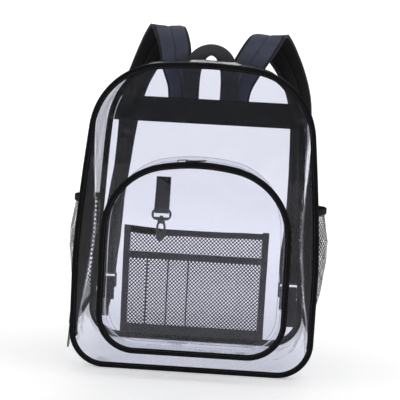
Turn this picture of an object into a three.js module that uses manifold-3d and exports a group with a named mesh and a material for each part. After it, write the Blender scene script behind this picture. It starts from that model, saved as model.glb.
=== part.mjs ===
// Clear stadium backpack. Millimetres, +Z up, +X to the right, the front faces -Y.
// The bag is modelled with its front panel on y = 0 and its base on z = 0, and at the end
// the whole group is moved so that its origin is the middle of its footprint.
import * as THREE from 'three';
import { mergeVertices } from 'three/addons/utils/BufferGeometryUtils.js';
import Module from 'manifold-3d';

const wasm = await Module();
wasm.setup();

// Driving sizes of the main bag
const bagHeight = 410;
const bagHalfWidth = 163;
const bagDepth = 150;
const bagBottomRadius = 48;
const bagTopRadius = 95;
const bagDrawIn = 15;
const bagCrownRise = 3;
const bagLean = 6.6;
const bagCrownLift = 10;
const straightShare = 0.6;
const bagZipShare = 0.34;
const waistDraw = 18;
const waistShare = 0.86;
const rowSpacing = 0.5;
const foldStep = 0.05;
const weldReach = 0.0001;

// Materials' thicknesses and the clearance between neighbours
const gap = 0.3;
const sheetWall = 1.2;
const tapeWall = 1.0;
const netWall = 0.8;
const webWall = 1.4;

// Edge bindings
const bindingWidth = 8;
const bindingWall = 1.6;
const bindingLip = 1.5;
const bindingReach = 6;

// Zips
const zipTapeWidth = 29.7;
const zipOverlap = 5;
const zipSeatDip = 0.6;
const coilWidth = 6;
const coilHeight = 1.6;
const coilSeatGap = 0.6;
const mainZipEndAngle = 18;
const sliderWidth = 10;
const sliderPlate = 1.2;
const sliderRunning = 0.5;
const bridgeWidth = 2.4;
const bridgeHeight = 3.6;
const bridgeWindow = 2.6;
const bridgeShare = 0.8;
const bridgePost = 1.5;
const bridgeSlope = 1;
const pullWidth = 7;
const pullThickness = 1.4;
const pullReach = 8;
const pullCorner = 2;
const pullPlay = 0.5;
const mainSlider = { length: 30, pull: 35 };
const pocketSlider = { length: 18, pull: 26 };

// Front pocket
const pocketHeight = 250;
const pocketHalfWidth = 122;
const pocketDepth = 40;
const pocketBase = 34;
const pocketBottomRadius = 50;
const pocketTopRadius = 90;
const pocketDrawIn = 1;
const pocketCrownRise = 3;
const pocketLean = 4.6;
const pocketTaper = 4.5;
const pocketSeamRise = 7;
const pocketDip = 5;
const pocketZipShare = 0.8;
const pocketFlange = 5;
const pocketZipTapeWidth = 22;

// Organiser on the front panel, inside the pocket
const organiserHalfWidth = 95;
const organiserBase = 51;
const organiserHeight = 144;
const organiserTopBand = 8;
const organiserSideBand = 8.5;
const organiserBottomBand = 13;
const organiserBarBand = 9;
const organiserBarDrop = 26;
const organiserSeamWidth = 2;
const organiserSeams = [-0.66, -0.37, -0.09];

// Hook strap, loop and swivel hook
const hookX = -46.5;
const hookStrapWidth = 19;
const hookStrapDrop = 23;
const hookStrapTop = pocketBase + pocketHeight - hookStrapDrop;
const hookStrapHang = 40.8;
const hookStrapSewn = 12;
const hookAxisOut = 10.5;
const loopTop = hookStrapTop - hookStrapHang;
const loopWidth = 26;
const loopHeight = 15.2;
const loopBar = 3.8;
const loopThickness = 4;
const loopLug = 9;
const stemRadius = 1.3;
const headRadius = 2.3;
const headHeight = 1.6;
const hookWidth = 12.8;
const hookNeck = 9.5;
const hookLength = 28;
const hookThickness = 4;
const hookWindowWidth = 6.7;
const hookWindowHeight = 11.4;
const hookWindowDrop = 4;
const hookGateSlit = 0.7;

// Yoke, haul loop and shoulder straps
const yokeDrop = 79;
const yokeBase = bagHeight - yokeDrop;
const yokeHeight = 37;
const yokeWall = 1.5;
const haulX = 3;
const haulHalfSpan = 28;
const haulRise = 37;
const haulTop = bagHeight + haulRise;
const haulWidth = 25;
const haulWall = 2.4;
const haulRootDrop = 58;
const haulRoot = bagHeight - haulRootDrop;
const strapWidth = 48;
const strapThickness = 9;
const adjusterWidth = 32;
const adjusterHeight = 24;
const adjusterThickness = 4;
const adjusterBar = 3.2;
const lowerWebWidth = 25;
const lowerWebTail = 20;
const lowerWebFoot = 30;
const lowerWebSewn = 12;

// Side net pockets
const sideNetBase = 64;
const sideNetTop = 221;
const sideHemHeight = 8;
const sideNetBulge = 38;

// How far the gusset is drawn in, from the front panel to the back panel.
// depth is a share of bagDepth, draw of waistDraw and lift of bagCrownLift, which raises the top.
const gussetRows = [
  { depth: 0.00, draw: 0.00, lift: 0.00 },
  { depth: 0.04, draw: 0.00, lift: 0.00 },
  { depth: 0.14, draw: 0.50, lift: 0.04 },
  { depth: 0.235, draw: 1.00, lift: 0.14 },
  { depth: 0.43, draw: 0.93, lift: 0.50 },
  { depth: 0.63, draw: 0.75, lift: 0.82 },
  { depth: 0.83, draw: 0.50, lift: 1.00 },
  { depth: 1.00, draw: 0.30, lift: 1.00 },
];

// The pocket's gusset, from the pocket's front to its seam. depth is a share of pocketDepth,
// dip of pocketDip and spread of the way that the seam lies outside the binding.
const pocketRows = [
  { depth: 0.00, dip: 0.00, spread: 0.00 },
  { depth: 0.16, dip: 0.10, spread: 0.00 },
  { depth: 0.30, dip: 1.00, spread: 0.05 },
  { depth: 0.58, dip: 1.00, spread: 0.20 },
  { depth: 0.78, dip: 0.40, spread: 0.60 },
  { depth: 1.00, dip: 0.00, spread: 1.00 },
];

// The side net's bulge by height. rise is a share of the net's height and bulge of sideNetBulge.
const sideNetRows = [
  { rise: 0.00, bulge: 0.02 },
  { rise: 0.07, bulge: 0.42 },
  { rise: 0.22, bulge: 0.66 },
  { rise: 0.40, bulge: 0.84 },
  { rise: 0.55, bulge: 0.96 },
  { rise: 0.70, bulge: 1.00 },
  { rise: 0.85, bulge: 0.92 },
  { rise: 0.95, bulge: 0.85 },
  { rise: 1.00, bulge: 0.92 },
];

// A shoulder strap's middle line, for the strap on the right. across is a share of
// bagHalfWidth, back of bagDepth and up of bagHeight. turn is the angle in degrees that the
// strap's width makes with X, about the vertical, and size is a share of strapWidth. The strap
// on the left lies nearer the middle by the share lean, and higher by the share lift.
const strapRows = [
  { across: 0.235, back: 1.066, up: 0.815, turn: 0, size: 0.90, lean: 0.025, lift: 0.000 },
  { across: 0.245, back: 1.066, up: 0.880, turn: 0, size: 0.90, lean: 0.022, lift: 0.000 },
  { across: 0.270, back: 1.074, up: 0.950, turn: 2, size: 0.92, lean: 0.030, lift: 0.001 },
  { across: 0.350, back: 1.095, up: 1.020, turn: 3, size: 0.95, lean: 0.050, lift: 0.004 },
  { across: 0.430, back: 1.135, up: 1.075, turn: 4, size: 1.00, lean: 0.105, lift: 0.008 },
  { across: 0.500, back: 1.200, up: 1.118, turn: 4, size: 1.00, lean: 0.135, lift: 0.012 },
  { across: 0.545, back: 1.300, up: 1.140, turn: 6, size: 1.00, lean: 0.140, lift: 0.015 },
  { across: 0.600, back: 1.405, up: 1.130, turn: 10, size: 1.00, lean: 0.145, lift: 0.016 },
  { across: 0.690, back: 1.475, up: 1.085, turn: 16, size: 1.00, lean: 0.155, lift: 0.014 },
  { across: 0.785, back: 1.490, up: 1.020, turn: 24, size: 1.00, lean: 0.165, lift: 0.010 },
  { across: 0.860, back: 1.450, up: 0.940, turn: 34, size: 1.00, lean: 0.160, lift: 0.006 },
  { across: 0.895, back: 1.385, up: 0.850, turn: 44, size: 1.00, lean: 0.155, lift: 0.003 },
  { across: 0.890, back: 1.315, up: 0.750, turn: 52, size: 1.00, lean: 0.130, lift: 0.001 },
  { across: 0.885, back: 1.255, up: 0.640, turn: 56, size: 1.00, lean: 0.105, lift: 0.000 },
  { across: 0.885, back: 1.210, up: 0.520, turn: 54, size: 0.98, lean: 0.070, lift: 0.000 },
  { across: 0.880, back: 1.170, up: 0.400, turn: 44, size: 0.90, lean: 0.040, lift: 0.000 },
  { across: 0.865, back: 1.125, up: 0.300, turn: 22, size: 0.72, lean: 0.000, lift: 0.000 },
  { across: 0.865, back: 1.110, up: 0.255, turn: 6, size: 0.62, lean: 0.000, lift: 0.000 },
  { across: 0.865, back: 1.110, up: 0.235, turn: 0, size: 0.60, lean: 0.000, lift: 0.000 },
];

// Materials
const finish = (color, roughness, extra = {}) => new THREE.MeshStandardMaterial({
  color, roughness, metalness: 0, ...extra,
});
const clear = finish(0xe2e3ee, 0.12, { transparent: true, opacity: 0.3 });
const blackTape = finish(0x121316, 0.75);
const zipBlack = finish(0x17181b, 0.6);
const pullBlack = finish(0x1c1d20, 0.4);
const netBlack = finish(0x25262b, 0.85);
const greyTape = finish(0x3a3b44, 0.8);
const greyPlastic = finish(0x4a4b55, 0.38);
const yokeBlack = finish(0x17191b, 0.85);
const strapNavy = finish(0x3a3d4a, 0.85);
const webGrey = finish(0x33363f, 0.8);

const group = new THREE.Group();
const { lerp, degToRad } = THREE.MathUtils;

function weld(geometry) {
  geometry.deleteAttribute('normal');
  geometry.deleteAttribute('uv');
  return mergeVertices(geometry, weldReach);
}

// A closed geometry from points and triangles, with its faces turned outwards
function solid(points, triangles) {
  let volume = 0;
  for (const [i, j, k] of triangles) {
    volume += points[i].dot(points[j].clone().cross(points[k]));
  }
  const facing = volume < 0 ? triangles.map(([i, j, k]) => [i, k, j]) : triangles;
  const geometry = new THREE.BufferGeometry();
  geometry.setAttribute('position',
    new THREE.Float32BufferAttribute(points.flatMap((p) => [p.x, p.y, p.z]), 3));
  geometry.setIndex(facing.flat());
  return geometry;
}

function addPiece(name, geometry, material) {
  geometry.computeVertexNormals();
  const mesh = new THREE.Mesh(geometry, material);
  mesh.name = name;
  group.add(mesh);
  return mesh;
}

function toManifold(geometry) {
  const welded = weld(geometry.clone());
  return new wasm.Manifold(new wasm.Mesh({
    numProp: 3,
    vertProperties: welded.attributes.position.array,
    triVerts: new Uint32Array(welded.index.array),
  }));
}

function fromManifold(manifold) {
  const mesh = manifold.getMesh();
  const geometry = new THREE.BufferGeometry();
  geometry.setAttribute('position', new THREE.BufferAttribute(mesh.vertProperties, 3));
  geometry.setIndex(new THREE.BufferAttribute(mesh.triVerts, 1));
  return geometry;
}

const joined = (...parts) => fromManifold(parts.map(toManifold).reduce((a, b) => a.add(b)));
const cut = (body, ...tools) => fromManifold(
  tools.map(toManifold).reduce((a, b) => a.subtract(b), toManifold(body)));

// Sweeps a profile of [out, across] pairs through frames. A ring has no end caps.
function sweep(frames, profileOf, ring = false) {
  const profiles = frames.map(profileOf);
  const side = profiles[0].length;
  const points = frames.flatMap((frame, i) => profiles[i].map(([out, across]) =>
    frame.origin.clone().addScaledVector(frame.out, out).addScaledVector(frame.across, across)));
  const triangles = [];
  const steps = ring ? frames.length : frames.length - 1;
  for (let i = 0; i < steps; i += 1) {
    const next = (i + 1) % frames.length;
    for (let j = 0; j < side; j += 1) {
      const beside = (j + 1) % side;
      const [a, b] = [i * side + j, i * side + beside];
      const [c, d] = [next * side + beside, next * side + j];
      triangles.push([a, b, c], [a, c, d]);
    }
  }
  if (!ring) {
    for (const end of [0, frames.length - 1]) {
      const flat = profiles[end].map(([out, across]) => new THREE.Vector2(out, across));
      const turning = Math.sign(THREE.ShapeUtils.area(flat));
      for (const cap of THREE.ShapeUtils.triangulateShape(flat, [])) {
        const alike = Math.sign(THREE.ShapeUtils.area(cap.map((v) => flat[v]))) === turning;
        const corners = cap.map((v) => end * side + v);
        triangles.push(alike === (end === 0) ? corners.reverse() : corners);
      }
    }
  }
  return solid(points, triangles);
}

// A flat plate in the XZ plane, from y = front to y = front + thickness
function plate(outline, front, thickness, holes = []) {
  const shape = new THREE.Shape(outline.map(([x, z]) => new THREE.Vector2(x, z)));
  for (const hole of holes) {
    shape.holes.push(new THREE.Path(hole.map(([x, z]) => new THREE.Vector2(x, z))));
  }
  const geometry = new THREE.ExtrudeGeometry(shape, { depth: thickness, bevelEnabled: false });
  geometry.rotateX(Math.PI / 2);
  geometry.translate(0, front + thickness, 0);
  return weld(geometry);
}

const rectangle = (left, right, low, high) => [[left, low], [right, low], [right, high], [left, high]];

function box(left, right, front, back, low, high) {
  const geometry = new THREE.BoxGeometry(right - left, back - front, high - low);
  geometry.translate((left + right) / 2, (front + back) / 2, (low + high) / 2);
  return weld(geometry);
}

// A thin closed sheet: grid[row][column] is its middle surface
function sheet(grid, thickness) {
  const rows = grid.length;
  const columns = grid[0].length;
  const at = (i, j) => grid[Math.min(Math.max(i, 0), rows - 1)][Math.min(Math.max(j, 0), columns - 1)];
  const faces = [0.5, -0.5].map((half) => grid.map((line, i) => line.map((point, j) => {
    const down = at(i + 1, j).clone().sub(at(i - 1, j));
    const along = at(i, j + 1).clone().sub(at(i, j - 1));
    return point.clone().addScaledVector(down.cross(along).normalize(), half * thickness);
  })));
  const points = faces.flat(2);
  const id = (face, i, j) => face * rows * columns + i * columns + j;
  const triangles = [];
  const quad = (a, b, c, d) => triangles.push([a, b, c], [a, c, d]);
  for (let i = 0; i < rows - 1; i += 1) {
    for (let j = 0; j < columns - 1; j += 1) {
      quad(id(0, i, j), id(0, i + 1, j), id(0, i + 1, j + 1), id(0, i, j + 1));
      quad(id(1, i, j), id(1, i, j + 1), id(1, i + 1, j + 1), id(1, i + 1, j));
    }
  }
  for (let i = 0; i < rows - 1; i += 1) {
    quad(id(0, i, 0), id(1, i, 0), id(1, i + 1, 0), id(0, i + 1, 0));
    quad(id(0, i + 1, columns - 1), id(1, i + 1, columns - 1), id(1, i, columns - 1), id(0, i, columns - 1));
  }
  for (let j = 0; j < columns - 1; j += 1) {
    quad(id(0, 0, j + 1), id(1, 0, j + 1), id(1, 0, j), id(0, 0, j));
    quad(id(0, rows - 1, j), id(1, rows - 1, j), id(1, rows - 1, j + 1), id(0, rows - 1, j + 1));
  }
  return solid(points, triangles);
}

// The arched outline of the bag or its pocket as stations with outward normals, starting at
// the middle of the base and going up the right side, over the crown and down the left.
function archOutline(spec) {
  const { halfWidth, height, base, bottomRadius, topRadius, drawIn, crownRise, lean } = spec;
  const shoulderX = halfWidth - drawIn - topRadius;
  const shoulderZ = base + height - crownRise - topRadius;
  const leanAngle = degToRad(lean);
  const shoulder = new THREE.Vector2(shoulderX + topRadius * Math.cos(leanAngle),
    shoulderZ + topRadius * Math.sin(leanAngle));
  const crownAngle = Math.PI / 2 - Math.atan2(2 * crownRise, shoulderX + topRadius * 0.1);
  const crown = new THREE.Vector2(shoulderX + topRadius * Math.cos(crownAngle),
    shoulderZ + topRadius * Math.sin(crownAngle));
  const bend = new THREE.Vector2(halfWidth,
    shoulder.y - (halfWidth - shoulder.x) / Math.tan(leanAngle));
  const cornerX = halfWidth - bottomRadius;
  const cornerZ = base + bottomRadius;
  const straightTop = lerp(cornerZ, bend.y, straightShare);
  const split = lerp(cornerZ, straightTop, spec.sideSplit);
  const corner = (from, to) => new THREE.EllipseCurve(cornerX, cornerZ, bottomRadius, bottomRadius,
    degToRad(from), degToRad(to));
  const top = new THREE.Vector2(0, base + height);
  const stretches = [
    { name: 'base', steps: 2, curve: new THREE.LineCurve(new THREE.Vector2(0, base),
      new THREE.Vector2(cornerX, base)) },
    { name: 'cornerLow', steps: 4, curve: corner(-90, -spec.cornerSplit) },
    { name: 'cornerHigh', steps: 2, curve: corner(-spec.cornerSplit, 0) },
    { name: 'sideLow', steps: 1, curve: new THREE.LineCurve(new THREE.Vector2(halfWidth, cornerZ),
      new THREE.Vector2(halfWidth, split)) },
    { name: 'sideHigh', steps: 2, curve: new THREE.LineCurve(new THREE.Vector2(halfWidth, split),
      new THREE.Vector2(halfWidth, straightTop)) },
    { name: 'sideCurve', steps: 5, curve: new THREE.QuadraticBezierCurve(
      new THREE.Vector2(halfWidth, straightTop), bend, shoulder) },
    { name: 'shoulder', steps: 7, curve: new THREE.EllipseCurve(shoulderX, shoulderZ, topRadius, topRadius,
      leanAngle, crownAngle) },
    { name: 'crown', steps: 3, curve: new THREE.QuadraticBezierCurve(crown,
      new THREE.Vector2(crown.x / 2, top.y), top) },
  ];
  const right = [];
  for (const { name, steps, curve } of stretches) {
    for (let i = 0; i < steps; i += 1) {
      const point = curve.getPoint(i / steps);
      const tangent = curve.getTangent(i / steps);
      right.push({ name, x: point.x, z: point.y, nx: tangent.y, nz: -tangent.x });
    }
  }
  right[0] = { ...right[0], nx: 0, nz: -1 };
  const middle = { name: 'crown', x: 0, z: base + height, nx: 0, nz: 1 };
  const left = right.slice(1).reverse().map((s) => ({ ...s, x: -s.x, nx: -s.nx }));
  return [...right, middle, ...left];
}

const bagOutline = archOutline({
  halfWidth: bagHalfWidth, height: bagHeight, base: 0, bottomRadius: bagBottomRadius,
  topRadius: bagTopRadius, drawIn: bagDrawIn, crownRise: bagCrownRise, lean: bagLean,
  cornerSplit: mainZipEndAngle, sideSplit: bagZipShare,
});
const pocketOutline = archOutline({
  halfWidth: pocketHalfWidth, height: pocketHeight, base: pocketBase,
  bottomRadius: pocketBottomRadius, topRadius: pocketTopRadius, drawIn: pocketDrawIn,
  crownRise: pocketCrownRise, lean: pocketLean, cornerSplit: mainZipEndAngle,
  sideSplit: pocketZipShare,
});

// The draw of the bag's sides is greatest below half height and nothing at base and shoulders
const waist = ({ z }) => waistDraw
  * Math.sin(Math.PI * Math.min(Math.max(z / bagHeight / waistShare, 0), 1)) ** 2;
const crownLift = ({ nz }) => bagCrownLift * Math.max(nz, 0) ** 2;

// The side of the bag or its pocket: how far it lies outside the outline at a depth y
function sideSurface(rows, front, depth, outOf) {
  const places = rows.map((row) => front + row.depth * depth);
  return {
    at(station, y) {
      const i = Math.max(1, places.findIndex((place) => place >= y));
      const [a, b] = [outOf(station, rows[i - 1]), outOf(station, rows[i])];
      return lerp(a, b, (y - places[i - 1]) / (places[i] - places[i - 1]));
    },
    depths: (from, to) => [from,
      ...places.filter((place) => place > from + rowSpacing && place < to - rowSpacing), to],
  };
}
const bagSide = sideSurface(gussetRows, 0, bagDepth,
  (station, row) => crownLift(station) * row.lift - waist(station) * row.draw);

const frameOf = (station) => ({
  station,
  origin: new THREE.Vector3(station.x, 0, station.z),
  out: new THREE.Vector3(station.nx, 0, station.nz),
  across: new THREE.Vector3(0, 1, 0),
});

// The profile of a layer on a side: its outer face lies lift outside the side's surface
function layer(surface, station, from, to, lift, thickness) {
  const depths = surface.depths(from, to);
  const outer = depths.map((y) => [surface.at(station, y) + lift, y]);
  const inner = depths.map((y) => [surface.at(station, y) + lift - thickness, y]).reverse();
  return [...outer, ...inner];
}

// A gusset's profile. Under the zip it begins behind the zip's tape, and seats lower there.
function gussetProfile(surface, station, begins, from, to, tapeEnd) {
  const depths = surface.depths(begins, to).map((y, i) => (y <= from ? from + i * foldStep : y));
  const face = (y) => surface.at(station, y) + gussetLift - (y < tapeEnd ? zipSeatDip : 0);
  const outer = depths.map((y) => [face(y), y]);
  const inner = depths.map((y) => [face(y) - sheetWall, y]).reverse();
  return { outer, inner };
}

const insetOutline = (stations, inset, draw = () => 0) => stations.map((s) => {
  const out = draw(s) - inset;
  return [s.x + s.nx * out, s.z + s.nz * out];
});

// Main bag
const panelInset = bindingWall + gap;
const backDraw = (station) => bagSide.at(station, bagDepth);
addPiece('front_panel', plate(insetOutline(bagOutline, panelInset), 0, sheetWall), clear);
addPiece('back_panel', plate(insetOutline(bagOutline, panelInset, backDraw),
  bagDepth - sheetWall, sheetWall), clear);

function binding(stations, draw, edge, inward) {
  // edge is the panel's outer face and inward the side on which the bag lies
  const lipFace = edge - inward * (gap + bindingLip);
  return sweep(stations.map(frameOf), ({ station }) => [
    [0, lipFace], [0, edge + inward * bindingReach], [-bindingWall, edge + inward * bindingReach],
    [-bindingWall, edge - inward * gap], [-bindingWidth, edge - inward * gap], [-bindingWidth, lipFace],
  ].map(([out, y]) => [out + draw(station), y]), true);
}
addPiece('front_binding', binding(bagOutline, () => 0, 0, 1), blackTape);
addPiece('back_binding', binding(bagOutline, backDraw, bagDepth, -1), blackTape);

// The zip's tape lies on the gusset's edge, and runs from one lower corner over to the other
const zipBegins = bagOutline.findIndex((s) => s.name === 'cornerHigh');
const zipEnds = bagOutline.length - zipBegins;
const zipFront = bindingReach + gap;
const zipBack = zipFront + zipTapeWidth;
const tapeLift = -bindingWall + tapeWall;
const gussetLift = tapeLift - tapeWall - gap;
const panelBack = sheetWall + gap;
addPiece('gusset', sweep(bagOutline.map(frameOf), ({ station }) => {
  const index = bagOutline.indexOf(station);
  const zipped = index > zipBegins && index < zipEnds;
  const from = zipped ? zipBack - zipOverlap : panelBack;
  const { outer, inner } = gussetProfile(bagSide, station, panelBack, from, bagDepth - panelBack, zipBack);
  return [...outer, ...inner];
}, true), clear);

const zipStations = bagOutline.slice(zipBegins, zipEnds + 1);
addPiece('main_zip_tape', sweep(zipStations.map(frameOf),
  ({ station }) => layer(bagSide, station, zipFront, zipBack, tapeLift, tapeWall)), zipBlack);
const coilMiddle = bagDepth * gussetRows[2].depth;
const coilLift = tapeLift + coilSeatGap + coilHeight;
addPiece('main_zip_coil', sweep(zipStations.map(frameOf),
  ({ station }) => layer(bagSide, station, coilMiddle - coilWidth / 2,
    coilMiddle + coilWidth / 2, coilLift, coilHeight)), zipBlack);

// A frame on the middle of the coil between two stations: u along, v across, w outwards
function coilSeat(a, b, y, surface, lift) {
  const at = (s, depth) => frameOf(s).origin.addScaledVector(frameOf(s).out, surface.at(s, depth) + lift)
    .add(new THREE.Vector3(0, depth, 0));
  const along = at(b, y).sub(at(a, y)).normalize();
  const acrossRaw = at(a, y + 1).sub(at(a, y - 1)).normalize();
  const out = along.clone().cross(acrossRaw).normalize();
  const facing = out.dot(frameOf(a).out) < 0 ? out.negate() : out;
  const across = facing.clone().cross(along).normalize();
  const origin = at(a, y).add(at(b, y)).multiplyScalar(0.5);
  return new THREE.Matrix4().makeBasis(along, across, facing).setPosition(origin);
}

// The slider: a plate over the coil with a flange down each side and a bridge for the pull.
// Its frame has u along the zip, v across it and w = 0 on the coil's outer face.
function sliderGeometry({ length }) {
  const half = sliderWidth / 2;
  const flange = coilWidth / 2 + 2 * sliderRunning;
  const low = sliderRunning - coilHeight;
  const top = sliderRunning + sliderPlate;
  const section = [[-half, low], [-flange, low], [-flange, sliderRunning], [flange, sliderRunning],
    [flange, low], [half, low], [half, top], [-half, top]];
  const ends = [-0.5, 0.5].map((share) => ({
    origin: new THREE.Vector3(share * length, 0, 0),
    out: new THREE.Vector3(0, 1, 0), across: new THREE.Vector3(0, 0, 1),
  }));
  const body = sweep(ends, () => section);
  const reach = (length / 2) * bridgeShare;
  const foot = top - bridgePost / 2;
  const staple = [[-reach, foot], [-reach + bridgePost, foot], [-reach + bridgePost, top + bridgeWindow],
    [reach - bridgePost, top + bridgeWindow], [reach - bridgePost, foot], [reach, foot],
    [reach - bridgeSlope, top + bridgeHeight], [-reach + bridgeSlope, top + bridgeHeight]];
  const sides = [-0.5, 0.5].map((share) => ({
    origin: new THREE.Vector3(0, share * bridgeWidth, 0),
    out: new THREE.Vector3(1, 0, 0), across: new THREE.Vector3(0, 0, 1),
  }));
  const bridge = sweep(sides, () => staple);
  return joined(body, bridge);
}

// The pull: a tab whose bar turns in the bridge's window. It lies towards -u.
const pivotW = sliderRunning + sliderPlate + bridgeWindow / 2;
function pullGeometry({ length, pull }) {
  const pivotU = bridgePost + pullThickness / 2 + pullPlay - (length / 2) * bridgeShare;
  const half = pullWidth / 2;
  const arm = bridgeWidth / 2 + pullPlay;
  const bar = pullThickness / 2;
  const tab = [[bar, -half], [bar, half], [-pull + pullCorner, half],
    [-pull, half - pullCorner], [-pull, -half + pullCorner], [-pull + pullCorner, -half]];
  const window = [[-bar, -arm], [-bar, arm], [-pullReach, arm], [-pullReach, -arm]];
  const shape = new THREE.Shape(tab.map(([u, v]) => new THREE.Vector2(u, v)));
  shape.holes.push(new THREE.Path(window.map(([u, v]) => new THREE.Vector2(u, v))));
  const geometry = new THREE.ExtrudeGeometry(shape, { depth: pullThickness, bevelEnabled: false });
  geometry.translate(pivotU, 0, pivotW - pullThickness / 2);
  return weld(geometry);
}

function addSlider(prefix, size, seat) {
  addPiece(`${prefix}_slider`, sliderGeometry(size), pullBlack).applyMatrix4(seat);
  addPiece(`${prefix}_pull`, pullGeometry(size), pullBlack).applyMatrix4(seat);
}

const sliderStation = bagOutline.findLastIndex((s) => s.name === 'sideLow');
addSlider('main_zip', mainSlider, coilSeat(bagOutline[sliderStation], bagOutline[sliderStation - 1],
  coilMiddle, bagSide, coilLift));

// Front pocket
const pocketFront = -pocketDepth;
const seamOut = ({ nx, nz }) => pocketSeamRise * Math.max(nz, 0) ** 2 - pocketTaper * nx ** 2;
const pocketSide = sideSurface(pocketRows, pocketFront, pocketDepth,
  (station, row) => seamOut(station) * row.spread - pocketDip * row.dip);
addPiece('pocket_panel', plate(insetOutline(pocketOutline, panelInset), pocketFront, sheetWall), clear);
addPiece('pocket_binding', binding(pocketOutline, () => 0, pocketFront, 1), blackTape);

const pocketZipFront = pocketFront + bindingReach + gap;
const pocketZipBack = pocketZipFront + pocketZipTapeWidth;
const pocketZipBegins = pocketOutline.findIndex((s) => s.name === 'sideHigh');
const pocketZipEnds = pocketOutline.length - pocketZipBegins;
addPiece('pocket_gusset', sweep(pocketOutline.map(frameOf), ({ station }) => {
  const index = pocketOutline.indexOf(station);
  const zipped = index > pocketZipBegins && index < pocketZipEnds;
  const begins = pocketFront + panelBack;
  const from = zipped ? pocketZipBack - zipOverlap : begins;
  const { outer, inner } = gussetProfile(pocketSide, station, begins, from, -gap, pocketZipBack);
  const [[foot, footY]] = inner;
  return [...outer, [foot - pocketFlange, footY], [foot - pocketFlange, footY - sheetWall],
    [foot, footY - sheetWall], ...inner.slice(1)];
}, true), clear);

const pocketZipStations = pocketOutline.slice(pocketZipBegins + 1, pocketZipEnds);
addPiece('pocket_zip_tape', sweep(pocketZipStations.map(frameOf),
  ({ station }) => layer(pocketSide, station, pocketZipFront, pocketZipBack, tapeLift, tapeWall)),
zipBlack);
const pocketCoilMiddle = (pocketZipFront + pocketZipBack) / 2;
addPiece('pocket_zip_coil', sweep(pocketZipStations.map(frameOf),
  ({ station }) => layer(pocketSide, station, pocketCoilMiddle - coilWidth / 2,
    pocketCoilMiddle + coilWidth / 2, coilLift, coilHeight)), zipBlack);
const pocketCrown = pocketOutline.findIndex((s) => s.x === 0 && s.nz > 0);
addSlider('pocket_zip', pocketSlider, coilSeat(pocketOutline[pocketCrown + 1],
  pocketOutline[pocketCrown + 2], pocketCoilMiddle, pocketSide, coilLift));

// Organiser: two nets, a border, a bar and the seams between the slip pockets
const organiserTop = organiserBase + organiserHeight;
const netBackFront = -gap - netWall;
const netFrontFront = netBackFront - gap - netWall;
const borderFront = netFrontFront - gap - tapeWall;
const barTop = organiserTop - organiserTopBand - organiserBarDrop;
const innerHalf = organiserHalfWidth - organiserSideBand;
const innerBase = organiserBase + organiserBottomBand;
const innerTop = organiserTop - organiserTopBand;
addPiece('organiser_net_back', plate(
  rectangle(-organiserHalfWidth, organiserHalfWidth, organiserBase, organiserTop),
  netBackFront, netWall), netBlack);
addPiece('organiser_net_front', plate(
  rectangle(-organiserHalfWidth, organiserHalfWidth, organiserBase, barTop),
  netFrontFront, netWall), netBlack);
addPiece('organiser_border', plate(
  rectangle(-organiserHalfWidth, organiserHalfWidth, organiserBase, organiserTop),
  borderFront, tapeWall, [rectangle(-innerHalf, innerHalf, innerBase, innerTop)]), greyTape);
const barLow = barTop - organiserBarBand;
addPiece('organiser_bar', plate(rectangle(-innerHalf + gap, innerHalf - gap, barLow, barTop),
  borderFront, tapeWall), greyTape);
organiserSeams.forEach((share, i) => {
  const x = share * organiserHalfWidth;
  addPiece(`organiser_seam_${i + 1}`, plate(rectangle(x - organiserSeamWidth / 2,
    x + organiserSeamWidth / 2, innerBase + gap, barLow - gap), borderFront, tapeWall), greyTape);
});

// Hook: a strap sewn to the front panel, a loop, and a hook that swivels in the loop's lug
const hookY = -hookAxisOut;
const topBarMiddle = loopTop - loopBar / 2;
const wrapRadius = Math.hypot(loopBar, loopThickness) / 2 + gap + webWall / 2;
const strapBackY = -gap - webWall / 2;
const strapFrontY = strapBackY - webWall - gap;
const strapLine = [
  [strapBackY, hookStrapTop], [strapBackY, hookStrapTop - hookStrapSewn],
  [hookY + wrapRadius, topBarMiddle + loopBar],
];
const wrapSteps = 8;
for (let i = 0; i <= wrapSteps; i += 1) {
  const angle = -Math.PI * (i / wrapSteps);
  strapLine.push([hookY + wrapRadius * Math.cos(angle), topBarMiddle + wrapRadius * Math.sin(angle)]);
}
strapLine.push([hookY - wrapRadius, topBarMiddle + loopBar],
  [strapFrontY, hookStrapTop - hookStrapSewn], [strapFrontY, hookStrapTop]);
addPiece('hook_strap', sweep(ribbonFrames(strapLine.map(([y, z]) => new THREE.Vector3(hookX, y, z)),
  () => new THREE.Vector3(1, 0, 0)),
() => ribbonProfile(hookStrapWidth, webWall)), greyTape);

function ribbonProfile(width, thickness) {
  return [[thickness / 2, -width / 2], [thickness / 2, width / 2],
    [-thickness / 2, width / 2], [-thickness / 2, -width / 2]];
}

// Frames along a line of points, mitred, whose width follows widthOf(index)
function ribbonFrames(points, widthOf) {
  return points.map((point, i) => {
    const before = points[Math.max(i - 1, 0)];
    const after = points[Math.min(i + 1, points.length - 1)];
    const arriving = i > 0 ? point.clone().sub(before).normalize() : after.clone().sub(point).normalize();
    const leaving = i < points.length - 1 ? after.clone().sub(point).normalize() : arriving.clone();
    const tangent = arriving.clone().add(leaving).normalize();
    const across = widthOf(i).clone();
    across.addScaledVector(tangent, -across.dot(tangent)).normalize();
    const out = tangent.clone().cross(across).normalize();
    const mitre = 1 / Math.max(tangent.dot(leaving), 0.5);
    return { index: i, origin: point.clone(), out: out.multiplyScalar(mitre), across };
  });
}

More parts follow.
